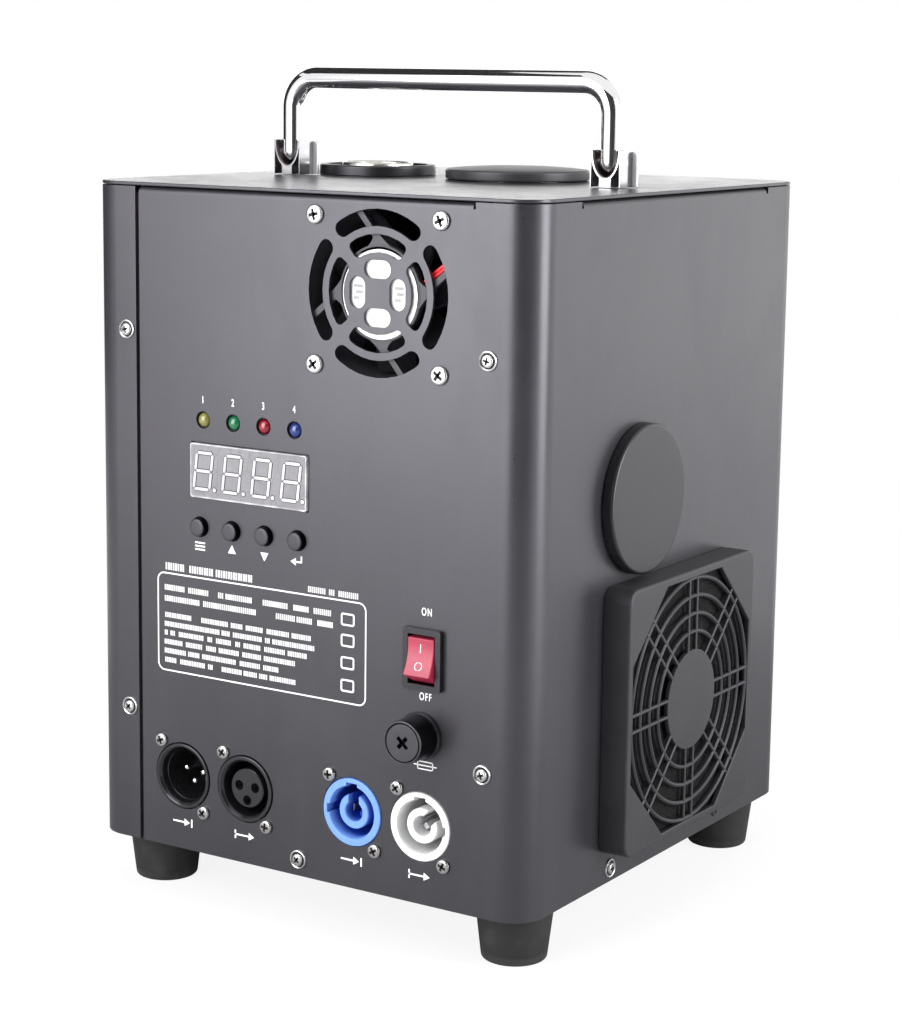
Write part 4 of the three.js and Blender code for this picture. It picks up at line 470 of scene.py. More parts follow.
def display(name):
    """Grey display resin under its clear skin: cloudy, flecked and scratched, with a painted highlight along
    its edge, patchy with the clouds.
    """
    face = Finish(name)
    cloud = face.noise(6.0, 4.0, 0.6)
    fleck = face.noise(0.4, 2.0, 0.5).between(0.6, 0.75)
    smear = face.noise(3.0, 4.0, 0.6, (0.3, 1.0, 1.0))
    base = face.tint(cloud, (0.125, 0.122, 0.132), (0.20, 0.196, 0.208))
    base = face.tint(fleck * 0.35, base, (0.36, 0.355, 0.37))
    across = face.along("X") - (HOUSING.x / MM + DISPLAY[0])
    up = face.along("Z") - (HOUSING.z / MM + DISPLAY[1])
    scratch = face.cells(5.0, "DISTANCE_TO_EDGE", (1.0, 1.0, 0.35)).between(0.035, 0.0)
    # Painted highlight: a pale band along the face's edge, where light catches the rim.
    edge = across.maths("ABSOLUTE", across).between(24.3, 24.9)
    edge = edge.maths("MAXIMUM", edge, up.maths("ABSOLUTE", up).between(8.8, 9.4))
    base = face.tint(scratch * 0.3, base, (0.05, 0.05, 0.055))
    base = face.tint(edge * (cloud.between(0.3, 0.75) * 0.75 + 0.12), base, (0.62, 0.61, 0.63))
    rough = 0.26 + smear * 0.14
    normal = face.bump(smear, 0.02, 0.15)
    return face.set(base_color=base, roughness=rough, coat_weight=0.12, normal=normal)


def segment_white(name):
    """Milky segments of the display."""
    return moulded(name, (0.46, 0.445, 0.465), 0.34, grain=0.3, depth=0.01, lift=1.2)


def print_ink(name):
    """White screen print: slightly uneven ink with pin holes."""
    ink = Finish(name)
    uneven = ink.noise(1.4, 4.0, 0.6)
    holes = ink.noise(0.25, 2.0, 0.5).between(0.68, 0.76)
    base = ink.tint(uneven, (0.70, 0.70, 0.71), (0.88, 0.88, 0.88))
    base = ink.tint(holes * 0.5, base, (0.25, 0.25, 0.26))
    rough = 0.45 + uneven * 0.15
    normal = ink.bump(uneven, 0.01, 0.3)
    return ink.set(base_color=base, roughness=rough, normal=normal)


def red_rocker(name):
    """Red rocker plastic with soft flow marks."""
    body = Finish(name)
    flow = body.noise(3.0, 3.0, 0.5)
    fine = body.noise(0.4, 2.0, 0.5)
    colour = tuple(bpy.context.scene.spark_colours.rocker)
    base = body.tint(flow, shade(colour, 0.8), shade(colour, 1.2))
    rough = 0.34 + flow * 0.08
    normal = body.bump(fine, 0.01, 0.2)
    return body.set(base_color=base, roughness=rough, specular_ior_level=0.5, normal=normal)


def blue_plastic(name):
    """Blue inlet plastic: pale on its rim, with painted shade that darkens it towards the bottom of the
    bore.
    """
    skin = Finish(name)
    colour = tuple(bpy.context.scene.spark_colours.power_in)
    flow = skin.noise(9.0, 3.0, 0.6)
    fine = skin.noise(0.4, 3.0, 0.6)
    # Painted shade: darker, stronger blue further into the bore.
    bore_shade = (skin.along("Y") - HOUSING.y / MM).between(0.9, 4.5)
    rim = skin.tint(flow, shade(colour, 0.94), shade(colour, 1.06))
    base = skin.tint(bore_shade, rim, (0.012, 0.055, 0.42))
    rough = 0.30 + flow * 0.08
    normal = skin.bump(fine, 0.02, 0.3)
    return skin.set(base_color=base, roughness=rough, normal=normal)


def white_plastic(name):
    return moulded(name, (0.62, 0.62, 0.62), 0.36, grain=0.4, depth=0.02, lift=1.2)


def circuit_board(name):
    """Green solder mask over copper tracks, with pale legends and tinned pads."""
    board = Finish(name)
    tracks = board.cells(3.2, "DISTANCE_TO_EDGE").between(0.03, 0.07)
    pads = board.cells(5.5, "F1").between(0.16, 0.20)
    mottle = board.noise(8.0, 3.0, 0.5)
    base = board.tint(tracks, (0.03, 0.16, 0.07), (0.012, 0.09, 0.035))
    base = board.tint((1 - pads) * 0.9, base, (0.62, 0.61, 0.58))
    rough = 0.26 + mottle * 0.16
    normal = board.bump(1 - tracks, 0.05, 0.4)
    return board.set(base_color=base, roughness=rough, normal=normal)


def ceramic_fibre(name):
    """Pressed insulating fibre with loose strands and scorched patches."""
    fibre = Finish(name)
    strand = fibre.noise(0.9, 5.0, 0.75, (1.0, 1.0, 0.25))
    scorch = fibre.noise(16.0, 3.0, 0.6).between(0.50, 0.80)
    base = fibre.tint(strand, (0.58, 0.55, 0.48), (0.80, 0.78, 0.72))
    base = fibre.tint(scorch * 0.5, base, (0.30, 0.22, 0.15))
    normal = fibre.bump(strand, 0.3, 0.7)
    return fibre.set(base_color=base, roughness=0.92 + strand * 0.06, normal=normal)


def heating_wire(name):
    """Oxidised heater wire: straw to violet temper colours under a grey scale."""
    wire = Finish(name)
    temper = wire.noise(7.0, 3.0, 0.6)
    scale = wire.noise(0.5, 4.0, 0.7)
    base = wire.tint(temper.between(0.3, 0.7), (0.30, 0.20, 0.12), (0.16, 0.12, 0.16))
    base = wire.tint(scale * 0.5, base, (0.22, 0.21, 0.20))
    normal = wire.bump(scale, 0.05, 0.5)
    return wire.set(base_color=base, metallic=0.7, roughness=0.42 + scale * 0.2, normal=normal)


def glass_tube(name):
    """Fuse glass with tinned end caps."""
    tube = Finish(name)
    place = tube.along("Y")
    middle = place.between(-87.0, -86.5) - place.between(-77.4, -76.9)
    haze = tube.noise(2.0, 3.0, 0.5)
    base = tube.tint(middle.clipped(), (0.62, 0.61, 0.60), (0.78, 0.82, 0.82))
    return tube.set(base_color=base, metallic=1 - middle.clipped(), roughness=0.10 + haze * 0.12)


def red_lead(name):
    return moulded(name, (0.68, 0.02, 0.025), 0.32, grain=0.4, depth=0.02, lift=1.3)


def fan_label(name):
    """Silvered paper label on the fan's hub."""
    paper = Finish(name)
    fibre = paper.noise(0.5, 4.0, 0.6)
    crease = paper.noise(7.0, 3.0, 0.5)
    base = paper.tint(fibre * 0.4 + crease * 0.6, (0.72, 0.72, 0.73), (0.90, 0.90, 0.90))
    rough = 0.30 + crease * 0.15
    return paper.set(base_color=base, roughness=rough, normal=paper.bump(crease, 0.05, 0.2))


# Each finish by its own name, which is a slot's name or the look that a piece asks for
MAKERS = {
    maker.__name__: maker
    for maker in (
        black_sheet, black_plastic, rubber, chrome, steel, nozzle_steel, zinc_sheet, lid_plastic,
        filter_plastic, foam, fan_plastic, led_yellow, led_green, led_red, led_blue, display,
        red_rocker, blue_plastic, white_plastic, circuit_board, ceramic_fibre, heating_wire,
        glass_tube, red_lead, bright_screw, dull_screw, print_ink, segment_white, fan_label,
        gloss_plastic, smoked_chrome, satin_chrome, cast_chrome, key_plastic, knob_plastic,
        rotor_plastic, label_ink, dark_recess,
    )
}


def finish(name):
    """The finish of that name, made the first time that it is asked for."""
    return bpy.data.materials.get(name + "_finish") or MAKERS[name](name + "_finish")


# Modelling tools, in the housing's frame and in mm


def clear():
    """Leaves edit mode and deselects every object."""
    if bpy.context.object and bpy.context.object.mode != "OBJECT":
        bpy.ops.object.mode_set(mode="OBJECT")
    bpy.ops.object.select_all(action="DESELECT")


def pick(*pieces):
    """Selects just these pieces and makes the first one active."""
    clear()
    for piece in pieces:
        piece.select_set(True)
    bpy.context.view_layer.objects.active = pieces[0]


@contextmanager
def shaping(piece, mode="EDGE"):
    """Holds the piece in edit mode while it is shaped."""
    pick(piece)
    bpy.ops.object.mode_set(mode="EDIT")
    bpy.ops.mesh.select_mode(type=mode)
    yield piece
    bpy.ops.object.mode_set(mode="OBJECT")


def apply_place():
    """Moves the active object's place, turn and size into its mesh."""
    bpy.ops.object.transform_apply(location=True, rotation=True, scale=True)


def link(item):
    bpy.context.scene.collection.objects.link(item)


def take_all():
    bpy.ops.mesh.select_all(action="SELECT")


def face_outwards():
    """In edit mode, turns every face outwards."""
    take_all()
    bpy.ops.mesh.normals_make_consistent(inside=False)


def move(x=0, y=0, z=0):
    """Moves what is selected by a step in mm."""
    bpy.ops.transform.translate(value=(x * MM, y * MM, z * MM))


def extrude(x=0, y=0, z=0):
    bpy.ops.mesh.extrude_region()
    move(x, y, z)


def stretch(x, y, z, centre=(0, 0, 0)):
    """Scales what is selected about a centre in mm."""
    bpy.ops.transform.resize(value=(x, y, z), center_override=[c * MM for c in centre])


def rotate(degrees, axis, centre=(0, 0, 0)):
    """Turns what is selected by the right-hand rule."""
    centre = [c * MM for c in centre]
    bpy.ops.transform.rotate(value=-math.radians(degrees), orient_axis=axis, center_override=centre)


def middle(item):
    """Middle of a vertex, edge or face, in mm."""
    if isinstance(item, bmesh.types.BMVert):
        return item.co / MM
    points = [v.co for v in item.verts]
    return sum(points, Vector()) / len(points) / MM


def runs_along(edge, axis):
    step = (edge.verts[1].co - edge.verts[0].co).normalized()
    return abs(step["XYZ".index(axis)]) > 0.999


def choose(piece, kind, test):
    """In edit mode, selects just the vertices, edges or faces that pass the test; returns how many."""
    bpy.ops.mesh.select_all(action="DESELECT")
    mesh = bmesh.from_edit_mesh(piece.data)
    found = [item for item in getattr(mesh, kind) if test(item)]
    for item in found:
        item.select_set(True)
    mesh.select_flush_mode()
    bmesh.update_edit_mesh(piece.data)
    return len(found)


def named(name):
    """Names the active object and applies its place."""
    piece = bpy.context.object
    piece.name = piece.data.name = name
    pick(piece)
    apply_place()
    return piece


def block(name, low, high):
    """Cuboid between two corners, to be shaped further."""
    clear()
    centre = [(a + b) / 2 * MM for a, b in zip(low, high)]
    size = [(b - a) * MM for a, b in zip(low, high)]
    bpy.ops.mesh.primitive_cube_add(size=1, location=centre, scale=size)
    return named(name)


def turned(name, profile, sides=64):
    """Lathe work round Z: a circle is extruded from point to point of the profile, each (radius, height)."""
    clear()
    closed = profile[0] == profile[-1]
    radius, height = profile[0]
    bpy.ops.mesh.primitive_circle_add(
        vertices=sides,
        radius=radius * MM,
        location=(0, 0, height * MM),
        fill_type="NOTHING" if closed else "NGON",
    )
    piece = named(name)
    with shaping(piece, "VERT"):
        take_all()
        for (r0, h0), (r1, h1) in zip(profile, profile[1:]):
            extrude(z=h1 - h0)
            stretch(r1 / r0, r1 / r0, 1, (0, 0, h1))
        take_all()
        if closed:
            bpy.ops.mesh.remove_doubles(threshold=1e-6)
        face_outwards()
    return piece


def bow(cx, cy, radius, start, end, steps=4):
    """Points of an arc of a profile; angles in degrees."""
    turns = [math.radians(start + (end - start) * i / steps) for i in range(steps + 1)]
    return [(cx + radius * math.cos(a), cy + radius * math.sin(a)) for a in turns]


def place(piece, x, y, z, facing="Z"):
    """Moves a piece made round the origin; its Z then points up, out of the panel or out of the wall."""
    pick(piece)
    piece.rotation_euler = {
        "Z": (0, 0, 0),
        "-Y": (math.pi / 2, 0, 0),
        "X": (0, math.pi / 2, 0),
    }[facing]
    piece.location = Vector((x, y, z)) * MM
    apply_place()
    return piece


def twist(piece, degrees, axis="Z"):
    """Turns a piece by the right-hand rule round the origin."""
    with shaping(piece, "VERT"):
        take_all()
        rotate(degrees, axis)
    return piece


def swing(degrees, centre, axis, steps):
    """Spins what is selected by the right-hand rule."""
    bpy.ops.mesh.spin(
        steps=steps, angle=-math.radians(degrees), center=Vector(centre) * MM, axis=axis
    )


def round_edges(piece, axis, radius, steps=6, test=None):
    """Rounds the edges that run along an axis and pass the test on their middle."""
    with shaping(piece):
        wanted = lambda e: runs_along(e, axis) and (test is None or test(middle(e)))
        choose(piece, "edges", wanted)
        bpy.ops.mesh.bevel(offset=radius * MM, segments=steps, affect="EDGES")
    return piece


def apply_modifier(piece, kind, **settings):
    pick(piece)
    modifier = piece.modifiers.new(kind.title(), kind)
    for key, value in settings.items():
        setattr(modifier, key, value)
    bpy.ops.object.modifier_apply(modifier=modifier.name)
    return piece


def soften(piece, width, steps=2, angle=38):
    """Breaks every sharp edge by a small rounding."""
    return apply_modifier(
        piece,
        "BEVEL",
        width=width * MM,
        segments=steps,
        limit_method="ANGLE",
        angle_limit=math.radians(angle),
        harden_normals=False,
        use_clamp_overlap=True,
    )


def joined(name, pieces):
    """Makes one piece of several."""
    pick(*pieces)
    if len(pieces) > 1:
        bpy.ops.object.join()
    piece = bpy.context.object
    piece.name = piece.data.name = name
    return piece


def cut(piece, *tools):
    """Cuts tools that don't touch each other out of the piece, all at once."""
    tool = joined("tool", list(tools))
    apply_modifier(piece, "BOOLEAN", operation="DIFFERENCE", solver="EXACT", object=tool)
    bpy.data.objects.remove(tool)
    return piece


def cut_cross(piece, length, width, low, high, turn):
    """Cross recess for a driver, its two arms cut one after the other."""
    for degrees in (turn, turn + 90):
        arm = block("tool", (-length / 2, -width / 2, low), (length / 2, width / 2, high))
        with shaping(arm, "VERT"):
            choose(arm, "verts", lambda v: v.co.z < (low + high) / 2 * MM)
            stretch(0.7, 0.8, 1)
        cut(piece, twist(arm, degrees))
    return piece


def again(piece, name):
    """A copy with a mesh of its own."""
    copy = piece.copy()
    copy.data = piece.data.copy()
    copy.name = copy.data.name = name
    link(copy)
    return copy


def settle(piece, body, slot, *nodes, look=None, angle=32):
    """Puts a finished piece into the shared frame, gives it its finish and hangs it on its body."""
    pick(piece)
    piece.location = HOUSING
    apply_place()
    bpy.ops.object.shade_smooth_by_angle(angle=math.radians(angle))
    apply_modifier(piece, "WEIGHTED_NORMAL", mode="FACE_AREA", weight=60, keep_sharp=True)
    piece.data.materials.clear()
    piece.data.materials.append(finish(look or slot))
    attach(piece, body)
    if nodes:
        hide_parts(*nodes)
    return piece


# Housing


def folded_wall(name, near_x, far_x, fold_panels):
    """Outer skin of one bent sheet: front, side and back, with folds under the top plate between slits."""
    top = WALL_TOP - FOLD
    side = 1 if far_x > near_x else -1
    radius = bpy.context.scene.spark_sizes.corner_radius / MM
    piece = block(name, (min(near_x, far_x), 0, 0), (max(near_x, far_x), DEPTH, top))
    slits = (far_x - side * 22.9, far_x - side * 23.7)
    wall_slit = (28.2, 29.4)
    fold_reach = 12
    with shaping(piece, "FACE"):
        gone = lambda f: abs(f.normal.z) > 0.9 or f.normal.x * side < -0.9
        choose(piece, "faces", gone)
        bpy.ops.mesh.delete(type="FACE")
    round_edges(piece, "Z", radius, 14)
    with shaping(piece):
        cuts = [("Y", v) for v in (*wall_slit, DEPTH - wall_slit[1], DEPTH - wall_slit[0])]
        cuts += [("Y", v) for v in (radius + 0.5, DEPTH - radius - 0.5)]
        cuts += [("X", far_x - side * (radius + 0.5))]
        if fold_panels:
            cuts += [("X", v) for v in slits]
        for axis, value in cuts:
            take_all()
            at = (value * MM, 0, 0) if axis == "X" else (0, value * MM, 0)
            line = (1, 0, 0) if axis == "X" else (0, 1, 0)
            bpy.ops.mesh.bisect(plane_co=at, plane_no=line)

        def on_top(e):
            return abs(middle(e).z - top) < 0.01 and e.is_boundary

        def at_side(e):
            m = middle(e)
            return abs(m.x - far_x) < 0.01 and wall_slit[1] < m.y < DEPTH - wall_slit[1]

        def at_panel(e, y):
            m = middle(e)
            return fold_panels and abs(m.y - y) < 0.01 and m.x * side < slits[1] * side

        def at_corner(e):
            m = middle(e)
            near_end = m.y < wall_slit[0] or m.y > DEPTH - wall_slit[0]
            beyond = not fold_panels or m.x * side > slits[0] * side
            return on_top(e) and near_end and beyond

        choose(piece, "edges", at_corner)
        extrude(z=FOLD)
        reach = fold_reach - FOLD
        if choose(piece, "edges", lambda e: on_top(e) and at_side(e)):
            swing(-90 * side, (far_x - side * FOLD, 0, top), (0, 1, 0), 5)
            extrude(x=-side * reach)
        for y, way in ((0.0, 1), (DEPTH, -1)):
            if choose(piece, "edges", lambda e: on_top(e) and at_panel(e, y)):
                swing(-90 * way, (0, y + way * FOLD, top), (1, 0, 0), 5)
                extrude(y=way * reach)
    return piece


def thicken(piece):
    """Gives the folded skin its sheet's thickness, inwards."""
    with shaping(piece):
        take_all()
        bpy.ops.mesh.remove_doubles(threshold=1e-6)
        face_outwards()
    return apply_modifier(
        piece, "SOLIDIFY", thickness=SHEET * MM, offset=-1, use_even_offset=True
    )


def rod_cutter(radius, x, z, sides=48):
    """Cutter for a round hole in the panel."""
    return place(turned("tool", [(radius, -4), (radius, 4)], sides), x, 0, z, "-Y")


def window_cutter(width, height, x, z, rounding):
    """Cutter for a rectangular hole in the panel, with rounded corners."""
    low = (x - width / 2, -4, z - height / 2)
    high = (x + width / 2, 4, z + height / 2)
    return round_edges(block("tool", low, high), "Y", rounding, 5)


def arc_slot(inner, outer, bridge, rounding, quarter):
    """Cutter for one curved slot of the fan grille, with rounded ends."""
    mid = (inner + outer) / 2
    half = math.pi / 4 - math.asin(bridge / 2 / mid)
    clear()
    bpy.ops.mesh.primitive_plane_add(size=1, rotation=(math.pi / 2, 0, 0), location=(mid * MM, 0, 0))
    tool = bpy.context.object
    tool.scale = ((outer - inner) * MM, 8 * MM, 1)
    tool = named("tool")
    twist(tool, math.degrees(-half) + 90 * quarter)
    with shaping(tool):
        take_all()
        bpy.ops.mesh.delete(type="ONLY_FACE")
        take_all()
        steps = max(6, round(mid * half * 2 / 3.4))
        swing(math.degrees(half) * 2, (0, 0, 0), (0, 0, 1), steps)
        take_all()
        bpy.ops.mesh.fill_holes(sides=4)
        face_outwards()

        def at_end(e):
            m = middle(e)
            angle = math.atan2(m.y, m.x) - quarter * math.pi / 2
            angle = abs((angle + math.pi) % (2 * math.pi) - math.pi)
            return runs_along(e, "Z") and abs(angle - half) < 0.01

        choose(tool, "edges", at_end)
        bpy.ops.mesh.bevel(offset=rounding * MM, segments=6, affect="EDGES")
    return place(tool, EXHAUST[0], 0, EXHAUST[1], "-Y")


def grille_cutters():
    """Two rings of four curved slots, and four short slots round the centre."""
    tools = []
    for quarter in range(4):
        tools.append(arc_slot(22.2, 27.8, 4.0, 2.7, quarter))
        tools.append(arc_slot(13.6, 19.6, 4.2, 2.0, quarter))
        turn = math.pi / 2 * quarter
        x = EXHAUST[0] + 8 * math.cos(turn)
        z = EXHAUST[1] + 8 * math.sin(turn)
        upright = quarter % 2
        width, height = (10.6, 6.2) if upright else (6.2, 10.6)
        tools.append(window_cutter(width, height, x, z, 3.0))
    return tools


def make_wrap_shell():
    """Panel, right-hand wall and back in one sheet, with tabs behind the left cover and all its holes."""
    piece = folded_wall("shell", PANEL_LEFT, HALF, True)
    with shaping(piece):
        for y, way in ((0.0, 1), (DEPTH, -1)):
            seam = lambda e: (
                e.is_boundary
                and runs_along(e, "Z")
                and abs(middle(e).x - PANEL_LEFT) < 0.01
                and abs(middle(e).y - y) < 0.01
            )
            choose(piece, "edges", seam)
            extrude(y=way * 1.5)
            extrude(x=-10.5)
    thicken(piece)
    tools = grille_cutters()
    tools += [rod_cutter(3.05, x, LIGHT_Z, 32) for x in LIGHTS]
    tools += [rod_cutter(3.6, x, BUTTON_Z, 32) for x in BUTTONS]
    tools += [rod_cutter(12.3, x, SOCKET_Z, 64) for x in SOCKETS]
    tools += [rod_cutter(6.4, *FUSE)]
    tools += [window_cutter(50.9, 19.8, *DISPLAY, 0.5)]
    tools += [window_cutter(13.6, 19.8, *SWITCH, 0.5)]
    for radius, (y, z) in ((43.6, INTAKE), (22.0, PORT)):
        tools.append(place(turned("tool", [(radius, -6), (radius, 6)], 96), HALF, y, z, "X"))
    cut(piece, *tools)
    soften(piece, 0.16, 2)
    settle(piece, "housing", "black_sheet", "wrap_shell")


def make_left_cover():
    piece = folded_wall("side_cover", STRIP_RIGHT, -HALF, False)
    thicken(piece)
    soften(piece, 0.16, 2)
    settle(piece, "housing", "black_sheet", "left_cover")


def make_top_plate():
    radius = bpy.context.scene.spark_sizes.corner_radius / MM
    piece = block("roof", (-HALF, 0, 237.0), (HALF, DEPTH, PLATE_TOP))
    round_edges(piece, "Z", radius, 14)
    tools = []
    for (x, y), hole in ((OUTLET, 10.3), (HOPPER, 21.8)):
        tools.append(place(turned("tool", [(hole, -4), (hole, 4)], 64), x, y, PLATE_TOP))
    cut(piece, *tools)
    soften(piece, 0.3, 3)
    settle(piece, "housing", "black_sheet", "top_plate")


def make_feet():
    """Tapered rubber foot with a screw hole from below, one turned and four placed."""
    across, near = 76.1, 20.9
    profile = [(3.2, -12.0), (3.2, -17.4), (6.0, -17.9), (6.6, -18.8), (9.9, -19.3)]
    profile += bow(9.98, -17.88, 1.42, -90, -8, 5)[1:]
    profile += [(11.75, -15.0), (12.35, -10.0), (12.95, -5.0), (13.55, -0.4)]
    profile += bow(13.3, 0.0, 0.4, 0, 90, 3)
    profile += [(8.3, 0.4), (8.2, 1.1)]
    first = turned("foot", profile, 72)
    spots = {
        "foot_front_left": (-across, near),
        "foot_front_right": (across, near),
        "foot_back_left": (-across, DEPTH - near),
        "foot_back_right": (across, DEPTH - near),
    }
    for node, (x, y) in spots.items():
        piece = place(again(first, "rubber_" + node), x, y, 0)
        settle(piece, "housing", "rubber", node)
    bpy.data.objects.remove(first)


# Carrying handle


def make_handle():
    """Round rod: a circle drawn up the left leg, spun round each bend and along the bar."""
    radius = bpy.context.scene.spark_sizes.handle_rod / MM / 2
    y, low = PIVOT
    bend, bar = 11.0, 274.5
    clear()
    bpy.ops.mesh.primitive_circle_add(
        vertices=40, radius=1.1 * MM, location=(-LEG * MM, y * MM, (low - 3.7) * MM)
    )
    piece = named("handle_bail")
    ends = [(1.1, -3.7), (2.5, -2.95), (3.5, -1.6), (radius, 0.0)]
    with shaping(piece, "VERT"):
        take_all()

        def ring(x, r0, r1, z0, z1):
            extrude(z=z1 - z0)
            stretch(r1 / r0, r1 / r0, 1, (x, y, z1))

        for (r0, z0), (r1, z1) in zip(ends, ends[1:]):
            ring(-LEG, r0, r1, low + z0, low + z1)
        ring(-LEG, radius, radius, low, bar - bend)
        swing(90, (-LEG + bend, y, bar - bend), (0, 1, 0), 14)
        extrude(x=2 * LEG - 2 * bend)
        swing(90, (LEG - bend, y, bar - bend), (0, 1, 0), 14)
        ring(LEG, radius, radius, bar - bend, low)
        for (r0, z0), (r1, z1) in zip(ends[::-1], ends[::-1][1:]):
            ring(LEG, r0, r1, low + z0, low + z1)
        take_all()
        bpy.ops.mesh.fill_holes(sides=0)
        face_outwards()
    settle(piece, "handle", "chrome", "carry_handle")


def oval(name, wide, tall, near, far, x):
    """Oval bar along Y, centred on the top of a handle cup."""
    bar = turned(name, [(1, -far), (1, -near)], 64)
    with shaping(bar, "VERT"):
        take_all()
        stretch(wide, tall, 1)
    return place(bar, x, 0, PIVOT[1] + 4.0, "-Y")


def make_brackets():
    """Cast cup with an oval slot for the rod and two pockets, a satin lug behind, a lining that paints shade
    inside the slot, and a pin.
    """
    front, back = 84.8, 94.8
    low, high = SEAT, SEAT + 12.8
    slot_end = 93.2
    for side, x in (("left", -LEG), ("right", LEG)):
        cup = block("cup", (x - 5.9, front, low), (x + 5.9, back - 0.5, high))
        cut(cup, oval("tool", 5.15, 9.4, front - 2, slot_end, x))
        for way in (-1, 1):
            sides = sorted((x + way * 2.3, x + way * 5.6))
            top = PIVOT[1] + 2.5
            pocket = block("tool", (sides[0], front - 1, low - 1), (sides[1], front + 0.5, top))
            with shaping(pocket, "VERT"):
                choose(pocket, "verts", lambda v: v.co.y > front * MM and v.co.z < low * MM)
                move(y=4.5)
            cut(pocket, oval("tool", 5.7, 10.0, front - 9, front + 9, x))
            cut(cup, pocket)
        soften(cup, 0.34, 3)
        lug = block("lug", (x - 7.8, back - 1.2, low), (x + 7.8, back, high - 0.6))
        round_edges(lug, "Y", 1.3, 6, lambda m: m.z > low + 5)
        soften(lug, 0.2, 2)
        lug.name = "handle_lug_" + side
        settle(lug, "housing", "chrome", look="satin_chrome")
        cup.name = "handle_cup_" + side
        settle(cup, "housing", "chrome", "handle_bracket_" + side, look="cast_chrome")
        # Dark lining inside the slot: painted shade of the hollow.
        liner = oval("handle_seat_" + side, 5.1, 9.35, front + 0.5, 93.1, x)
        with shaping(liner):
            take_all()
            above = (0, 0, (high - 0.4) * MM)
            bpy.ops.mesh.bisect(plane_co=above, plane_no=(0, 0, 1), clear_outer=True, use_fill=True)
        cut(liner, oval("tool", 4.85, 9.1, front, 92.8, x))
        settle(liner, "housing", "chrome", look="smoked_chrome")
        pin = turned("pivot_pin_" + side, [(1.2, -5.95), (1.5, -5.7), (1.5, 5.7), (1.2, 5.95)], 32)
        settle(place(pin, x, PIVOT[0], PIVOT[1], "X"), "housing", "chrome", "handle_pin_" + side)


# Roof fittings


def make_outlet():
    """Black collar, and the nozzle with its raised ring and long bore."""
    top = SEAT + 3.6
    profile = [(19.3, SEAT), (22.3, SEAT), (22.3, top - 0.8)]
    profile += bow(21.5, top - 0.8, 0.8, 0, 90, 4)[1:]
    profile += [(20.0, top)] + bow(19.9, top - 0.6, 0.6, 90, 180, 3)[1:] + [(19.3, SEAT)]
    rim = place(turned("outlet_collar", profile, 96), *OUTLET, 0)
    settle(rim, "housing", "black_plastic", "outlet_rim")
    plate = SEAT + 2.6
    ring = SEAT + 4.4
    tip = 175.8
    profile = [(8.5, tip), (10.0, tip), (10.0, SEAT), (19.0, SEAT), (19.0, plate - 0.3)]
    profile += [(18.7, plate), (14.0, plate), (13.6, plate + 0.3), (13.5, ring - 0.6)]
    profile += bow(12.9, ring - 0.6, 0.6, 0, 90, 3)[1:]
    profile += bow(12.5, ring - 0.6, 0.6, 90, 180, 3)
    profile += [(11.5, plate + 0.2), (10.6, plate - 0.6), (8.9, SEAT + 0.6), (8.5, SEAT - 0.4)]
    profile += [(8.5, tip)]
    nozzle = place(turned("nozzle", profile, 96), *OUTLET, 0)
    settle(nozzle, "housing", "nozzle_steel", "spark_nozzle")


def make_lid():
    """Crowned cap with a plug rim below, hollow inside."""
    low = SEAT
    rim = low + 3.7
    foot = low - 5.5
    profile = [(17.9, foot), (19.7, foot), (19.7, low + 1.8), (24.3, low + 1.8), (24.3, low)]
    profile += [(26.2, low), (26.5, low + 0.2), (26.7, low + 0.6), (26.7, rim - 0.9)]
    profile += bow(25.8, rim - 0.9, 0.9, 0, 80, 4)[1:]
    profile += [(22.0, rim + 0.42), (16.0, rim + 0.80), (9.0, rim + 1.08), (3.0, rim + 1.19)]
    piece = turned("lid_cap", profile, 96)
    with shaping(piece, "FACE"):
        choose(piece, "faces", lambda f: len(f.verts) > 10 and middle(f).z < low)
        bpy.ops.mesh.inset(thickness=1.8 * MM)
        extrude(z=7.2)
        face_outwards()
    settle(place(piece, *HOPPER, 0), "lid", "lid_plastic", "hopper_lid")


# Control panel


def make_lights():
    """Domed lenses, and the rings that they sit in behind the panel."""
    names = ("led_yellow", "led_green", "led_red", "led_blue")
    profile = [(1.1, -8.7), (2.7, -8.7), (2.7, -2.0), (2.66, -1.8)]
    profile += bow(0, -1.8, 2.64, 8, 84, 8)
    for x, name in zip(LIGHTS, names):
        piece = place(turned("lens_" + name[4:], profile, 40), x, 0, LIGHT_Z, "-Y")
        settle(piece, "housing", name, name)
    seats = []
    for x in LIGHTS:
        ring = [(2.76, -1.25), (3.7, -1.25), (3.7, -2.2), (2.76, -2.2), (2.76, -1.25)]
        seats.append(place(turned("seat", ring, 32), x, 0, LIGHT_Z, "-Y"))
    settle(joined("light_seats", seats), "housing", "black_plastic")


def display_bar(x, z, length, upright, half, front):
    """One segment of a digit: a bar with mitred ends, half of whose width is half."""
    clear()
    bpy.ops.mesh.primitive_circle_add(vertices=4, radius=half * MM, fill_type="NGON")
    segment = named("segment")
    axis = 1 if upright else 0
    across = 1 - axis
    with shaping(segment, "VERT"):
        choose(segment, "verts", lambda v: abs(v.co[across]) > (half - 0.02) * MM)
        bpy.ops.mesh.bevel(offset=0.12 * MM, segments=1, affect="VERTICES")
        for way in (1, -1):
            choose(segment, "verts", lambda v: v.co[axis] * way > 0.02 * MM)
            step = [0, 0, 0]
            step[axis] = way * (length / 2 - half)
            move(*step)
        take_all()
        extrude(z=0.12)
        face_outwards()
    return place(segment, x, front, z, "-Y")


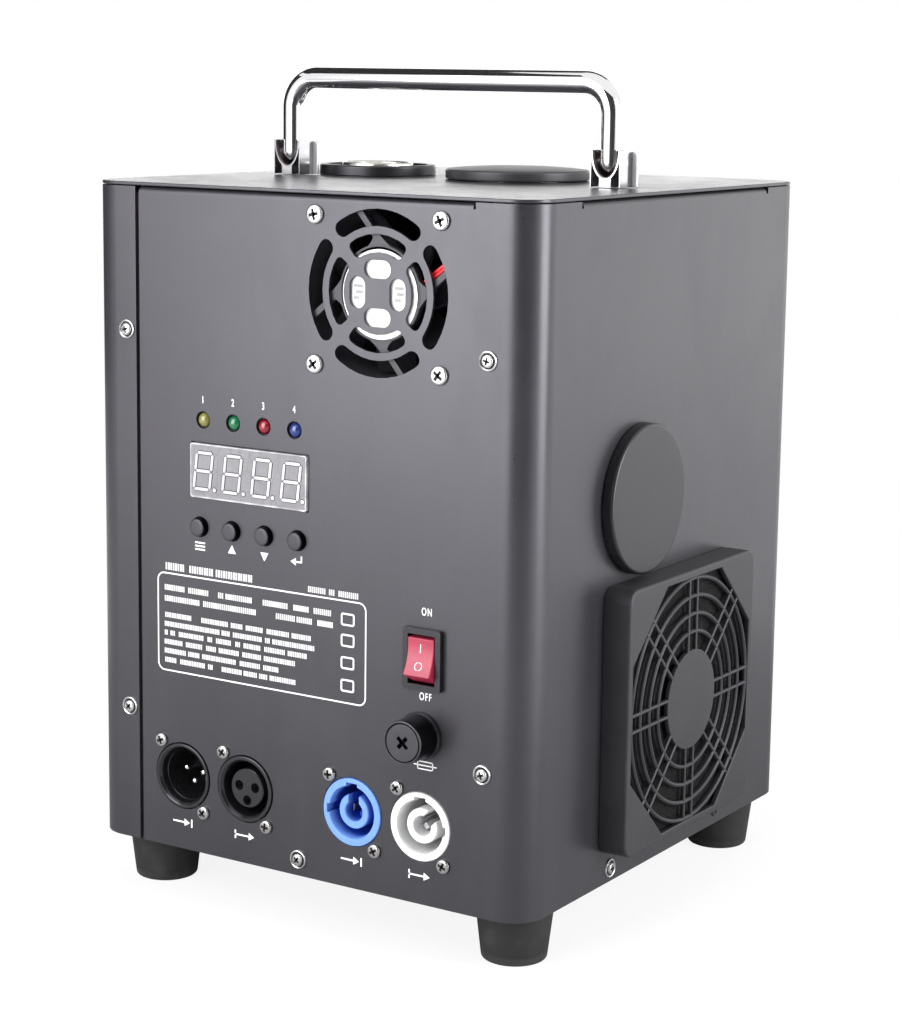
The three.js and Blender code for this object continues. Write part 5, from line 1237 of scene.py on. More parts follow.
def display_digits(name, x, z, grow, front):
    """Four leaning digits and their points, each bar wider by grow all round."""
    wide, tall, half, gap, pitch = 8.2, 14.1, 0.63, 0.42, 12.65
    rise = tall / 2 - half
    reach = wide / 2 - half
    half += grow
    level = 2 * reach - gap + 2 * grow
    upright = rise - gap + 2 * grow
    bars = [display_bar(0, up, level, False, half, front) for up in (-rise, 0, rise)]
    bars += [
        display_bar(across, up, upright, True, half, front)
        for across in (-reach, reach)
        for up in (-rise / 2, rise / 2)
    ]
    digit = joined("digit", bars)
    lean = math.tan(math.radians(7))
    with shaping(digit, "VERT"):
        rows = sorted({round(v.co.z / MM, 3) for v in bmesh.from_edit_mesh(digit.data).verts})
        for row in rows:
            choose(digit, "verts", lambda v: abs(v.co.z / MM - row) < 0.0015)
            move(x=row * lean)
    dot = turned("dot", [(0.75 + grow, 0), (0.75 + grow, 0.09), (0.55 + grow, 0.12)], 24)
    place(dot, wide / 2 + 0.8, front, -tall / 2 + 0.75, "-Y")
    digit = joined("digit", [digit, dot])
    first = x - 1.5 * pitch - 0.4
    pieces = [place(again(digit, "copy"), first + i * pitch, 0, z) for i in range(4)]
    bpy.data.objects.remove(digit)
    return joined(name, pieces)


def make_display():
    """Grey resin block with a raised rim, and milky digits with a thin dark outline."""
    x, z = DISPLAY
    wide, tall = 25.15, 9.6
    piece = block("display_block", (x - wide, -1.0, z - tall), (x + wide, 8.7, z + tall))
    round_edges(piece, "Y", 0.9, 4)
    with shaping(piece, "FACE"):
        choose(piece, "faces", lambda f: f.normal.y < -0.9)
        bpy.ops.mesh.inset(thickness=0.45 * MM)
        bpy.ops.mesh.inset(thickness=0.2 * MM)
        move(y=0.16)
    soften(piece, 0.1, 2)
    settle(piece, "housing", "display", "display_module")
    outline = display_digits("display_outlines", x, z, 0.24, -0.80)
    settle(outline, "housing", "black_plastic", look="dark_recess", angle=20)
    digits = display_digits("display_digits", x, z, 0.0, -0.86)
    settle(digits, "housing", "white_plastic", look="segment_white")


def make_buttons():
    """Round key with a collar behind the panel and a rolled edge, one turned and four placed."""
    profile = [(3.25, -5.3), (3.25, -2.4), (4.4, -2.4), (4.4, -1.4), (3.25, -1.4), (3.25, 1.3)]
    profile += [(3.2, 1.75), (3.05, 2.02), (2.8, 2.2), (2.5, 2.27), (1.4, 2.28)]
    first = turned("button", profile, 48)
    for i, x in enumerate(BUTTONS):
        piece = place(again(first, f"key_{i + 1}"), x, 0, BUTTON_Z, "-Y")
        body = "button_" + "abcd"[i]
        settle(piece, body, "black_plastic", f"button_{i + 1}", look="key_plastic")
    bpy.data.objects.remove(first)


def make_switch_bezel():
    """Frame on the panel with the switch's body behind it, and an open window."""
    x, z = SWITCH
    bezel = block("switch_bezel", (x - 7.5, -2.0, z - 10.5), (x + 7.5, -0.3, z + 10.5))
    round_edges(bezel, "Y", 0.9, 5)
    body = block("body", (x - 6.5, -0.35, z - 9.6), (x + 6.5, 17.0, z + 9.6))
    bezel = joined("switch_bezel", [bezel, body])
    tool = block("tool", (x - 5.4, -4, z - 8.5), (x + 5.4, 8.4, z + 8.5))
    cut(bezel, tool)
    soften(bezel, 0.35, 3)
    settle(bezel, "housing", "black_plastic", "rocker_bezel")


def rocker_marks(half, rise, dip):
    """A line and a ring that lie on the scooped face."""
    line = block("mark", (-0.13, -0.06, -1.45), (0.13, 1.04, 1.45))
    circle = [(1.25, -1.0), (1.5, -1.0), (1.5, 0.05), (1.25, 0.05), (1.25, -1.0)]
    ring = place(turned("mark", circle, 40), 0, 0, 0, "-Y")
    for mark, row in ((line, 3.0), (ring, -3.0)):
        share = row / half
        sag = rise - dip * (1 - share * share)
        slope = math.degrees(math.atan(2 * dip * share / half))
        twist(mark, slope, axis="X")
        place(mark, 0, -sag, row)
    return joined("rocker_marks", [line, ring])


def make_rocker():
    """Paddle with a scooped face, tipped as it rests, and its marks."""
    x, z = SWITCH
    tipped, axle = -13, 1.5
    half, rise, dip = 6.3, 5.5, 1.1
    rocker = block("paddle", (-5.1, -rise, -half), (5.1, 1.2, half))
    with shaping(rocker):
        choose(rocker, "edges", lambda e: runs_along(e, "Z"))
        bpy.ops.mesh.subdivide(number_cuts=13)
        choose(rocker, "edges", lambda e: runs_along(e, "Y"))
        for i in range(15):
            share = 1 - 2 * i / 14
            row = half * share
            face = lambda v: abs(v.co.z / MM - row) < 0.01 and v.co.y < -3 * MM
            choose(rocker, "verts", face)
            move(y=dip * (1 - share * share))
        choose(rocker, "verts", lambda v: v.co.y > 0)
        stretch(1, 1, 1.31)
    soften(rocker, 0.28, 3, 50)
    place(twist(rocker, tipped, axis="X"), x, axle, z)
    settle(rocker, "rocker", "red_rocker", "power_rocker")
    marks = rocker_marks(half, rise, dip)
    place(twist(marks, tipped, axis="X"), x, axle, z)
    settle(marks, "rocker", "white_plastic", look="print_ink")


def make_fuse():
    """Holder with its collar, barrel and nut, and the smooth cap with a rim and a cross recess."""
    x, z = FUSE
    end = -34
    profile = [(3.3, 1.8), (7.9, 1.8), (8.2, 1.5), (8.2, 0.3), (6.0, 0.3), (6.0, end), (3.3, end)]
    profile += [(3.3, 1.8)]
    barrel = turned("fuse_seat", profile, 64)
    nut = [(6.1, -1.5), (8.4, -1.5), (8.4, -4.5), (6.1, -4.5), (6.1, -1.5)]
    holder = joined("fuse_seat", [barrel, turned("nut", nut, 6)])
    settle(place(holder, x, 0, z, "-Y"), "housing", "black_plastic", "fuse_holder")

    near, far = 2.1, 11.3
    profile = [(7.5, near), (7.55, near + 0.4), (7.5, near + 3.0), (7.42, far - 0.9)]
    profile += bow(7.02, far - 0.4, 0.4, 0, 90, 5)[1:]
    profile += [(6.85, far), (6.75, far - 0.5), (6.4, far - 0.55), (6.3, far - 0.05)]
    profile += [(4.4, far - 0.02)]
    cap = turned("fuse_knob", profile, 72)
    cut_cross(cap, 6.2, 1.55, far - 1.7, far + 2, 48)
    soften(cap, 0.1, 2)
    place(cap, x, 0, z, "-Y")
    settle(cap, "fuse_screw_cap", "black_plastic", "fuse_cap", look="knob_plastic")


def socket_blank(bore, lip):
    """Flange behind the panel, a nose with a rounded lip, and the bottom of its bore."""
    flange = block("flange", (-13, -15.5, -3.5), (13, 15.5, -1.5))
    round_edges(flange, "Z", 3, 5)
    hole = turned("tool", [(11.5, -6), (11.5, 0)], 64)
    cut(flange, hole)
    outer, bottom = 11.9, -21.0
    profile = [(bore, bottom), (outer, bottom), (outer, 0.1)]
    profile += bow(11.5, 0.1, 0.4, 0, 90, 4)[1:]
    profile += [(bore + lip + 0.2, 0.5), (bore + lip, 0.3), (bore + 0.25, -0.3), (bore, -0.9)]
    profile += [(bore, bottom)]
    nose = turned("nose", profile, 72)
    floor = turned("floor", [(outer, bottom - 3), (outer, bottom)], 72)
    return [flange, nose, floor]


def make_signal_inlet():
    """Socket with a key slot, a thin liner and three round-tipped pins."""
    x = SOCKETS[0]
    parts = socket_blank(9.8, 0.9)
    key = block("tool", (-1.2, 0, -20.8), (1.2, 10.8, 2))
    cut(parts[1], key)
    liner = [(9.3, -21.0), (9.8, -21.0), (9.8, -3.2), (9.55, -2.9), (9.3, -3.2), (9.3, -21.0)]
    parts.append(turned("liner", liner, 64))
    cut(parts[-1], block("tool", (-1.3, 0, -22), (1.3, 12, 2)))
    soften(parts[1], 0.15, 2)
    shell = place(joined("signal_in_body", parts), x, 0, SOCKET_Z, "-Y")
    settle(shell, "housing", "black_plastic", "signal_inlet", look="gloss_plastic")
    pins = []
    for dx, dz in ((-4.1, 0.8), (3.6, 0.1), (-0.4, -3.7)):
        profile = [(1.25, -22.5), (1.25, -7.6)] + bow(0.05, -7.6, 1.2, 0, 80, 5)[1:]
        pins.append(place(turned("pin", profile, 24), x + dx, 0, SOCKET_Z + dz, "-Y"))
    settle(joined("signal_pins", pins), "housing", "chrome")


def make_signal_outlet():
    """Socket with an insert that has three holes, and a steel sleeve in each."""
    x = SOCKETS[1]
    parts = socket_blank(9.7, 0.8)
    insert = turned("insert", [(7.1, -22.0), (7.1, -1.5), (6.8, -1.2), (3.0, -1.2)], 64)
    tools = []
    holes = ((-3.5, 0.6), (3.5, 0.6), (0.0, -4.4))
    for dx, dz in holes:
        hole = [(1.6, -14), (1.6, -1.6), (1.85, -1.2), (1.85, 0.5)]
        tool = turned("tool", hole, 28)
        tools.append(place(tool, dx, dz, 0))
    cut(insert, *tools)
    parts.append(insert)
    shell = place(joined("signal_out_body", parts), x, 0, SOCKET_Z, "-Y")
    settle(shell, "housing", "black_plastic", "signal_outlet", look="gloss_plastic")
    tips = []
    for dx, dz in holes:
        ring = [(0.85, -13.5), (1.45, -13.5), (1.45, -5.5), (0.85, -5.5), (0.85, -13.5)]
        tips.append(place(turned("sleeve", ring, 20), x + dx, 0, SOCKET_Z + dz, "-Y"))
    settle(joined("signal_sleeves", tips), "housing", "steel")


def make_power_sockets():
    """Twist-lock sockets with two keys, a core and two contacts each; the small key changes sides."""
    jobs = (
        ("power_in_body", "power_inlet", "blue_plastic", SOCKETS[2], 0, -1),
        ("power_out_body", "power_outlet", "white_plastic", SOCKETS[3], -45, 1),
    )
    for name, node, slot, x, turn, side in jobs:
        parts = socket_blank(9.0, 0.35)
        top = block("tool", (-2.3, 6.1, -21.5), (2.3, 10.3, 2))
        small = sorted((side * 6.1, side * 10.3))
        flank = block("tool", (small[0], -1.6, -21.5), (small[1], 1.6, 2))
        cut(parts[1], top, flank)
        soften(parts[1], 0.2, 2)
        ring = [(3.5, -22.0), (6.1, -22.0), (6.1, -1.2), (5.8, -0.8), (3.8, -0.8), (3.5, -1.2)]
        ring += [(3.5, -22.0)]
        core = turned("core", ring, 64)
        slot_tool = block("tool", (-2.2, 0, -21), (2.2, 8, 1))
        cut(core, slot_tool)
        soften(core, 0.2, 2)
        twist(core, turn)
        post = block("post", (-1.1, -3.2, -22.0), (1.1, -1.4, -6.0))
        soften(post, 0.3, 2)
        twist(post, turn)
        parts += [core, post]
        shell = place(joined(name, parts), x, 0, SOCKET_Z, "-Y")
        settle(shell, "housing", slot, node)
        contacts = []
        for way in (-1, 1):
            blade = block("contact", (way * 2.9 - 0.3, -1.3, -21.5), (way * 2.9 + 0.3, 1.3, -5.0))
            soften(blade, 0.15, 2)
            contacts.append(twist(blade, turn))
        blades = place(joined(name + "_contacts", contacts), x, 0, SOCKET_Z, "-Y")
        settle(blades, "housing", "steel")


# Fans


def fan_struts(motor, run):
    """Four leaning struts from the motor mount to the frame, each with a flared root."""
    parts = []
    thick = wide = 2.2
    for quarter in range(4):
        strut = block("strut", (0.5, -wide / 2, -thick), (run, wide / 2, -0.3))
        twist(strut, STRUT_LEAN)
        with shaping(strut, "VERT"):
            take_all()
            move(x=motor)
        root = block("root", (motor - 3.6, -1, 0.1 - thick), (motor + 5.4, 1, -0.12))
        with shaping(root):
            choose(root, "edges", lambda e: runs_along(e, "X"))
            bpy.ops.mesh.subdivide(number_cuts=8)
            for i in range(10):
                column = motor - 3.6 + i
                width = wide / 2 + 8.6 * max(0.0, 1 - (i / 9)) ** 2.3
                choose(root, "verts", lambda v: abs(v.co.x / MM - column) < 0.01)
                stretch(1, width, 1)
                move(y=0.035 * i * i)
        for part in (strut, root):
            parts.append(twist(soften(part, 0.25, 2), 90 * quarter))
    return parts


def fan_box(name, half, throat, mouth, sides, rim, run):
    """Square frame with a round duct, and the motor mount on its struts; Z 0 is the frame's face."""
    body = block("fan_box", (-half, -half, -25), (half, half, 0))
    round_edges(body, "Z", 3, 5)
    duct = turned("tool", [(mouth, -30), (throat, -12), (mouth, 5)], sides)
    cut(body, duct)
    soften(body, 0.3, 2)
    mount = turned("mount", rim, 72)
    shaft = turned("shaft", [(2.5, -12.5), (2.5, -2.0)], 24)
    return joined(name, [body, mount, shaft] + fan_struts(rim[0][0], run))


def fan_rotor(name, duct, hub):
    """Hub cup and seven swept blades; Z 0 is the frame's face and the blades lie below it."""
    bore = 2.8
    profile = [(bore, -12.8), (bore, -2.8), (hub - 0.6, -2.8), (hub, -3.4), (hub, -23.0)]
    profile += [(hub - 0.6, -23.5), (bore, -23.5), (bore, -12.8)]
    parts = [turned("hub", profile, 48)]
    tip = duct - 1.0
    blades = 7
    for i in range(blades):
        blade = block("blade", (hub - 0.8, -0.55, -19.5), (tip, 0.55, -6.5))
        with shaping(blade):
            choose(blade, "edges", lambda e: runs_along(e, "X"))
            bpy.ops.mesh.subdivide(number_cuts=5)
            choose(blade, "edges", lambda e: runs_along(e, "Z"))
            bpy.ops.mesh.subdivide(number_cuts=5)
            points = bmesh.from_edit_mesh(blade.data).verts
            for column in sorted({round(v.co.x / MM, 2) for v in points}):
                share = (column - hub) / (tip - hub)
                choose(blade, "verts", lambda v: abs(v.co.x / MM - column) < 0.02)
                rotate(58 - 16 * share, "X", (column, 0, -13))
                rotate(12 * share, "Z")
        parts.append(twist(blade, 360 / blades * i))
    return joined(name, parts)


def make_exhaust_fan():
    """Fan behind the panel's grille, with a paper label on its mount."""
    x, z = EXHAUST
    near = FAN_FACE
    motor = EXHAUST_MOUNT
    rim = [(motor, -2.2), (motor, -0.3), (15.9, 0.0), (15.4, 0.0), (15.3, -0.12)]
    whole = fan_box("exhaust_fan_box", EXHAUST_HALF, 28.0, 28.6, 80, rim, 14.2)
    settle(place(whole, x, near, z, "-Y"), "housing", "fan_plastic", "exhaust_fan_frame")
    label = turned("label", [(14.9, -0.1), (14.9, -0.02), (14.8, 0.02)], 72)
    place(label, x + 0.1, near, z - 0.35, "-Y")
    settle(label, "housing", "white_plastic", look="fan_label")
    rows = []
    for side in (-8.2, 8.2):
        for k, (start, end) in enumerate(((-1.9, 1.6), (-1.4, 1.9), (-1.9, 0.4))):
            rows.append(tally(x + side + start, x + side + end, z + 2.1 - 2.0 * k, 1.1))
    marks = joined("fan_marks", rows)
    place(marks, 0, near - 0.03, 0)
    settle(marks, "housing", "black_plastic", look="label_ink", angle=20)
    rotor = place(fan_rotor("exhaust_impeller", 28.3, 13.0), x, near, z, "-Y")
    settle(rotor, "exhaust_rotor", "fan_plastic", "exhaust_fan_rotor", look="rotor_plastic")


def make_intake_fan():
    """Large fan behind the filter."""
    y, z = INTAKE
    near = HALF - SHEET - 0.3
    motor = INTAKE_MOUNT
    rim = [(motor, -2.2), (motor, -0.3), (22.7, 0.0), (21.0, -0.02)]
    whole = fan_box("intake_fan_box", 46, 43.4, 43.9, 96, rim, 24.2)
    settle(place(whole, near, y, z, "X"), "housing", "fan_plastic", "intake_fan_frame")
    rotor = place(fan_rotor("intake_impeller", 43.6, 20.0), near, y, z, "X")
    settle(rotor, "intake_rotor", "fan_plastic", "intake_fan_rotor", look="rotor_plastic")


def lead_tube(name, points, radius):
    """Insulated wire along smooth points."""
    clear()
    line = bpy.data.curves.new(name, "CURVE")
    line.dimensions = "3D"
    line.bevel_depth = radius * MM
    line.bevel_resolution = 4
    line.resolution_u = 8
    spline = line.splines.new("NURBS")
    spline.points.add(len(points) - 1)
    for point, at in zip(spline.points, points):
        point.co = (*[c * MM for c in at], 1)
    spline.use_endpoint_u = True
    spline.order_u = 4
    line.use_fill_caps = True
    piece = bpy.data.objects.new(name, line)
    link(piece)
    pick(piece)
    bpy.ops.object.convert(target="MESH")
    piece = bpy.context.object
    piece.name = piece.data.name = name
    return piece


def make_fan_lead():
    """Two red wires laid side by side along the strut, through the notch and back to the main board."""
    lean = math.radians(STRUT_LEAN)
    beside = 2.7
    y = FAN_FACE + 1.6
    x0, z0 = EXHAUST

    def strut(along):
        x = x0 + EXHAUST_MOUNT + along * math.cos(lean) - beside * math.sin(lean)
        return (x, y, z0 + along * math.sin(lean) + beside * math.cos(lean))

    side = x0 + EXHAUST_HALF
    z = z0 + 11.8
    route = [
        strut(3.5),
        strut(7),
        strut(11),
        (side - 2, y, z),
        (side + 2, y, z),
        (side + 4, y + 4, z),
        (side + 4, 26.5, z),
        (side + 4, 104.5, z),
        (side, 164.0, z - 18),
        (39.0, 182.4, 174.5),
        (35.0, 183.2, 162.5),
    ]
    wires = []
    for way in (-0.5, 0.5):
        points = [(px - way * 0.75, py + way * 0.4, pz + way * 0.95) for px, py, pz in route]
        wires.append(lead_tube("wire", points, 0.6))
    settle(joined("fan_wires", wires), "housing", "red_lead", "fan_lead")


# Filter cover, foam and port cap


def make_filter_cover():
    """Snap-on cover: soft-edged box, octagonal window, four round-topped rings, eight double spokes, hub."""
    y, z = INTAKE
    depth = COVER_FRONT - COVER_BACK
    box = block("cover", (-47, -47, 0), (47, 47, depth))
    round_edges(box, "Z", 5, 10)
    inside = block("tool", (-45.4, -45.4, -2), (45.4, 45.4, depth - 1.8))
    round_edges(inside, "Z", 3.4, 8)
    with shaping(box):
        choose(box, "edges", lambda e: middle(e).z > depth - 0.01)
        bpy.ops.mesh.bevel(offset=0.9 * MM, segments=5, affect="EDGES")
    window, flat = 44.2, 20.5
    octagon = block("tool", (-window, -window, 1), (window, window, depth + 4))
    round_edges(octagon, "Z", window - flat, 1)
    cut(box, inside)
    cut(box, octagon)
    with shaping(box):

        def at_window(e):
            m = middle(e)
            inside_box = max(abs(m.x), abs(m.y)) < window + 0.1
            return inside_box and m.z > depth - 0.01 and not runs_along(e, "Z")

        choose(box, "edges", at_window)
        bpy.ops.mesh.bevel(offset=0.5 * MM, segments=4, affect="EDGES")
    parts = [box]
    top = depth - 0.25
    for i in range(4):
        mid = 24.4 + 6.45 * i
        ring = [(mid - 0.68, top - 1.6), (mid + 0.68, top - 1.6), (mid + 0.68, top - 0.55)]
        ring += bow(mid, top - 0.55, 0.55, 10, 170, 5)
        ring += [(mid - 0.68, top - 0.55), (mid - 0.68, top - 1.6)]
        parts.append(turned("ring", ring, 112))
    hub = [(17.6, top - 1.7), (18.0, top - 1.5), (18.0, top - 0.45), (17.8, top - 0.12)]
    hub += [(17.4, top), (9.0, top)]
    parts.append(turned("hub", hub, 80))
    for i in range(8):
        reach = (window + flat) / math.sqrt(2) if i % 2 else window
        for way in (-2.9, 2.9):
            low = (16.5, way - 0.62, top - 1.6)
            bar = block("spoke", low, (reach + 0.9, way + 0.62, top - 0.06))
            round_edges(bar, "X", 0.5, 4, lambda m: m.z > top - 0.5)
            parts.append(twist(bar, 45 * i))
    cover = place(joined("grille_cover", parts), COVER_BACK, y, z, "X")
    settle(cover, "filter", "filter_plastic", "filter_cover")


def make_foam():
    """Foam pad, crowned a little between the bars that hold it."""
    y, z = INTAKE
    low, high = 94.7, 100.3
    half = 45.0
    pad = block("foam_pad", (low, y - half, z - half), (high, y + half, z + half))
    round_edges(pad, "X", 3.4, 5)
    soften(pad, 0.8, 3)
    with shaping(pad, "FACE"):
        choose(pad, "faces", lambda f: f.normal.x > 0.95 and len(f.verts) > 8)
        for share, sink in ((0.92, 0.15), (0.7, 0.1), (0.5, 0.15)):
            bpy.ops.mesh.extrude_region()
            stretch(1, share, share, (0, y, z))
            move(x=-sink)
    settle(pad, "filter", "foam", "filter_foam", angle=60)


def make_port_cap():
    """Round cap with a plug rim behind it, hollow from the back."""
    low = COVER_BACK - HALF
    face = low + 4.2
    profile = [(19.4, low - 7.0), (21.6, low - 7.0), (21.6, low), (26.0, low), (26.2, low + 0.2)]
    profile += [(26.2, face - 1.1)] + bow(25.1, face - 1.1, 1.1, 0, 90, 6)[1:]
    profile += [(20.0, face), (8.0, face)]
    piece = turned("port_disc", profile, 96)
    with shaping(piece, "FACE"):
        choose(piece, "faces", lambda f: len(f.verts) > 10 and middle(f).z < low - 5)
        bpy.ops.mesh.inset(thickness=0.4 * MM)
        extrude(z=8.6)
        face_outwards()
    place(piece, HALF, *PORT, "X")
    settle(piece, "port_cover", "black_plastic", "port_cap")


# Screws


def screw_head(name, radius, height, cross):
    """Pan head with a rounded shoulder and a cross recess."""
    profile = [(radius * 0.95, -0.02), (radius, 0.12 * height), (radius, 0.3 * height)]
    for turn in (math.radians(a) for a in (18, 36, 54, 72, 90)):
        across = radius * (0.72 + 0.28 * math.cos(turn))
        profile.append((across, height * (0.3 + 0.6 * math.sin(turn))))
    profile += [(radius * 0.45, 0.96 * height), (radius * 0.2, height)]
    return cut_cross(turned(name, profile, 48), cross, cross * 0.27, height * 0.3, height + 1, 0)


def screw_shade(name, height, cross):
    """Dark filling of the cross recess, a little below the head: painted shade in the recess."""
    arms = []
    reach, half = cross * 0.49, cross * 0.13
    for degrees in (0, 90):
        arm = block("arm", (-reach, -half, height * 0.2), (reach, half, height * 0.72))
        with shaping(arm, "VERT"):
            choose(arm, "verts", lambda v: v.co.z < height * 0.5 * MM)
            stretch(0.7, 0.8, 1)
        arms.append(twist(arm, degrees))
    return joined(name, arms)


def make_screws():
    """Heads and cup washers on the panel and the right-hand wall, with painted shade in the cross recesses
    and in the gap round each head inside its washer.
    """
    smaller = (0.84, 0.84, 1.0)
    y, z = WALL_SCREW
    fan = screw_head("fan_screw", 3.3, 1.5, 4.7)
    fan_shade = screw_shade("fan_shade", 1.5, 4.7)
    small = screw_head("small_screw", 2.55, 1.4, 3.7)
    small_shade = screw_shade("small_shade", 1.4, 3.7)
    cup = [(2.6, 0.0), (3.45, 0.0), (3.45, 0.3), (3.25, 0.62), (3.0, 0.7), (2.7, 0.5), (2.6, 0.0)]
    washer = turned("washer", cup, 48)
    # Dark disc under the head inside each cup washer: painted shade in the gap round the head.
    gap = turned("gap", [(2.66, 0.02), (2.66, 0.22), (1.0, 0.22)], 48)
    spots = [
        (fan, fan_shade, EXHAUST[0] + dx, EXHAUST[1] + dz, turn, False)
        for dx, dz, turn in ((-25, -25, 38), (25, -25, 52), (-25, 25, 12), (25, 25, 24))
    ]
    spots += [
        (small, small_shade, x + dx, SOCKET_Z + dz, 20 + 37 * i + 25 * k, False)
        for i, x in enumerate(SOCKETS)
        for k, (dx, dz) in enumerate(((-9.5, 12), (9.5, -12)))
    ]
    cups = ((-75.3, 186.4), (-75.3, 49.4), (75.3, 186.4), (75.3, 49.4), (0.3, 6.0))
    spots += [
        (small, small_shade, across, up, 15 + 31 * i, True) for i, (across, up) in enumerate(cups)
    ]
    bright, plain, shades = [], [], []
    for head, shadow, across, up, turn, cupped in spots:
        panel = bright if head is fan or cupped else plain
        pair = [twist(again(head, "head"), turn), twist(again(shadow, "shade"), turn)]
        if cupped:
            for piece in pair:
                piece.scale = smaller
            panel.append(place(again(washer, "cup"), across, 0, up, "-Y"))
            shades.append(place(again(gap, "gap"), across, 0, up, "-Y"))
        panel.append(place(pair[0], across, 0, up, "-Y"))
        shades.append(place(pair[1], across, 0, up, "-Y"))
    settle(joined("bright_screws", bright), "housing", "steel", look="bright_screw")
    settle(joined("socket_screws", plain), "housing", "steel", look="dull_screw")
    # Painted shade in the panel screws' recesses and washer gaps.
    settle(joined("panel_recesses", shades), "housing", "steel", look="dark_recess")
    small.scale = small_shade.scale = smaller
    wall = [place(again(part, "part"), HALF, y, z, "X") for part in (small, washer)]
    settle(joined("wall_screw", wall), "housing", "steel")
    # Painted shade in the wall screw's recess and washer gap.
    recess = [place(again(part, "part"), HALF, y, z, "X") for part in (small_shade, gap)]
    settle(joined("wall_recess", recess), "housing", "steel", look="dark_recess")
    small.scale.z = 0.5
    painted = place(again(small, "painted_screw"), HALF, DEPTH - y, z, "X")
    settle(painted, "housing", "black_sheet")
    for spare in (fan, fan_shade, small, small_shade, washer, gap):
        bpy.data.objects.remove(spare)


# Printed marks


def letters(text, size, x, z):
    """Narrow bold characters."""
    clear()
    bpy.ops.object.text_add(location=(0, 0, 0))
    words = bpy.context.object
    words.data.body = text
    words.data.size = size * MM
    words.data.extrude = 0.03 * MM
    words.data.offset = 0.05 * MM
    words.data.space_character = 1.25
    words.data.align_x = "CENTER"
    words.data.align_y = "CENTER"
    bpy.ops.object.convert(target="MESH")
    flat = bpy.context.object
    flat.scale = (0.66, 1, 1)
    return place(named("letters"), x, -0.04, z, "-Y")


def dash(x0, x1, z0, z1):
    """Flat printed bar on the panel."""
    return block("dash", (x0, -0.07, z0), (x1, 0.01, z1))


# Rows of strokes in the field and above it: height, height of the strokes, and each group's two ends
FIELD_ROWS = (
    (103.2, 2.6, ((-58.4, -49.2), (-47.6, -37.0), (-35.8, -19.1))),
    (102.8, 2.0, ((4.2, 11.8), (13.0, 15.6), (17.0, 25.1))),
    (95.5, 2.0, ((-58.9, -49.4), (-48.2, -39.0), (-34.8, -32.0), (-31.5, -19.9), (-15.2, -4.0))),
    (95.5, 2.0, ((-2.0, 4.9), (6.6, 14.5))),
    (91.5, 2.0, ((-58.9, -43.1), (-41.5, -17.8), (-9.5, -1.5), (-0.6, 6.2), (8.2, 14.5))),
    (85.5, 1.8, ((-58.8, -46.7), (-42.4, -30.5), (-29.2, -23.9), (-22.6, -14.9), (-13.5, -3.9))),
    (85.5, 1.8, ((-2.7, 5.7),)),
    (82.2, 1.8, ((-59.0, -34.3), (-33.3, -29.2), (-28.3, -15.2), (-14.2, -11.7), (-11.0, 7.0))),
    (79.0, 1.8, ((-59.0, -57.4), (-56.4, -54.0), (-52.6, -41.0), (-39.6, -37.1), (-35.8, -28.9))),
    (79.0, 1.8, ((-27.2, -24.6), (-23.6, -15.9), (-14.5, -5.7), (-4.4, 4.0))),
    (75.7, 1.8, ((-59.1, -50.6), (-49.4, -41.5), (-40.2, -35.8), (-34.6, -25.4), (-24.1, -15.8))),
    (75.7, 1.8, ((-14.7, -1.0),)),
    (72.4, 1.8, ((-59.1, -49.6), (-48.4, -43.4), (-42.0, -26.6), (-25.3, -16.3), (-15.0, -8.3))),
    (69.1, 1.8, ((-58.9, -53.3), (-52.0, -40.7), (-39.4, -36.9), (-33.3, -24.6), (-23.6, -17.9))),
    (69.1, 1.8, ((-16.8, -13.2), (-12.2, -0.5))),
)


def tally(start, end, z, height):
    """Group of short upright strokes in a row."""
    step = 0.42 * height
    count = max(1, round((end - start) / step))
    stroke = dash(start, start + 0.55 * step, z - height / 2, z + height / 2)
    offset = {"use_relative_offset": False, "use_constant_offset": True}
    shift = (step * MM, 0, 0)
    return apply_modifier(stroke, "ARRAY", count=count, constant_offset_displace=shift, **offset)


def arrow(x, z, turn, size):
    """Flat printed triangle; turn 0 points right."""
    tip = turned("arrow", [(size, 0.0), (size, 0.08)], 3)
    twist(tip, turn - 90)
    return place(tip, x, 0.01, z, "-Y")


def control_marks():
    """Digits above the lights, signs under the buttons, words at the switch and a fuse sign."""
    marks = [letters(str(i + 1), 3.6, x, 163.9) for i, x in enumerate(LIGHTS)]
    z = 112.1
    for row in (z - 1.2, z, z + 1.2):
        marks.append(dash(BUTTONS[0] - 2.2, BUTTONS[0] + 2.2, row - 0.28, row + 0.28))
    marks.append(arrow(BUTTONS[1], z, 90, 2.0))
    marks.append(arrow(BUTTONS[2], z, -90, 2.0))
    x = BUTTONS[3]
    marks.append(arrow(x - 1.4, z - 0.5, 180, 1.5))
    marks.append(dash(x - 1.0, x + 2.0, z - 0.78, z - 0.22))
    marks.append(dash(x + 1.45, x + 2.0, z - 0.5, z + 1.6))
    marks.append(letters("ON", 3.7, 52.8, 101.1))
    marks.append(letters("OFF", 3.7, 52.6, 72.2))
    fuse_sign = (
        (49.6, 56.0, 49.8, 50.2),
        (49.6, 56.0, 47.2, 47.6),
        (49.6, 50.0, 47.2, 50.2),
        (55.6, 56.0, 47.2, 50.2),
        (48.2, 57.4, 48.5, 48.9),
    )
    return marks + [dash(*bar) for bar in fuse_sign]


def socket_marks():
    """An arrow that ends at a bar for an inlet, and one that starts at a bar for an outlet."""
    marks = []
    for x, inward in zip(SOCKETS, (True, False, True, False)):
        marks.append(dash(x - 4.6, x + (0.6 if inward else 1.6), 9.75, 10.35))
        marks.append(arrow(x + (1.4 if inward else 2.4), 10.05, 0, 1.6))
        edge = x + 3.6 if inward else x - 4.6
        marks.append(dash(edge, edge + 0.6, 8.5, 11.6))
    return marks


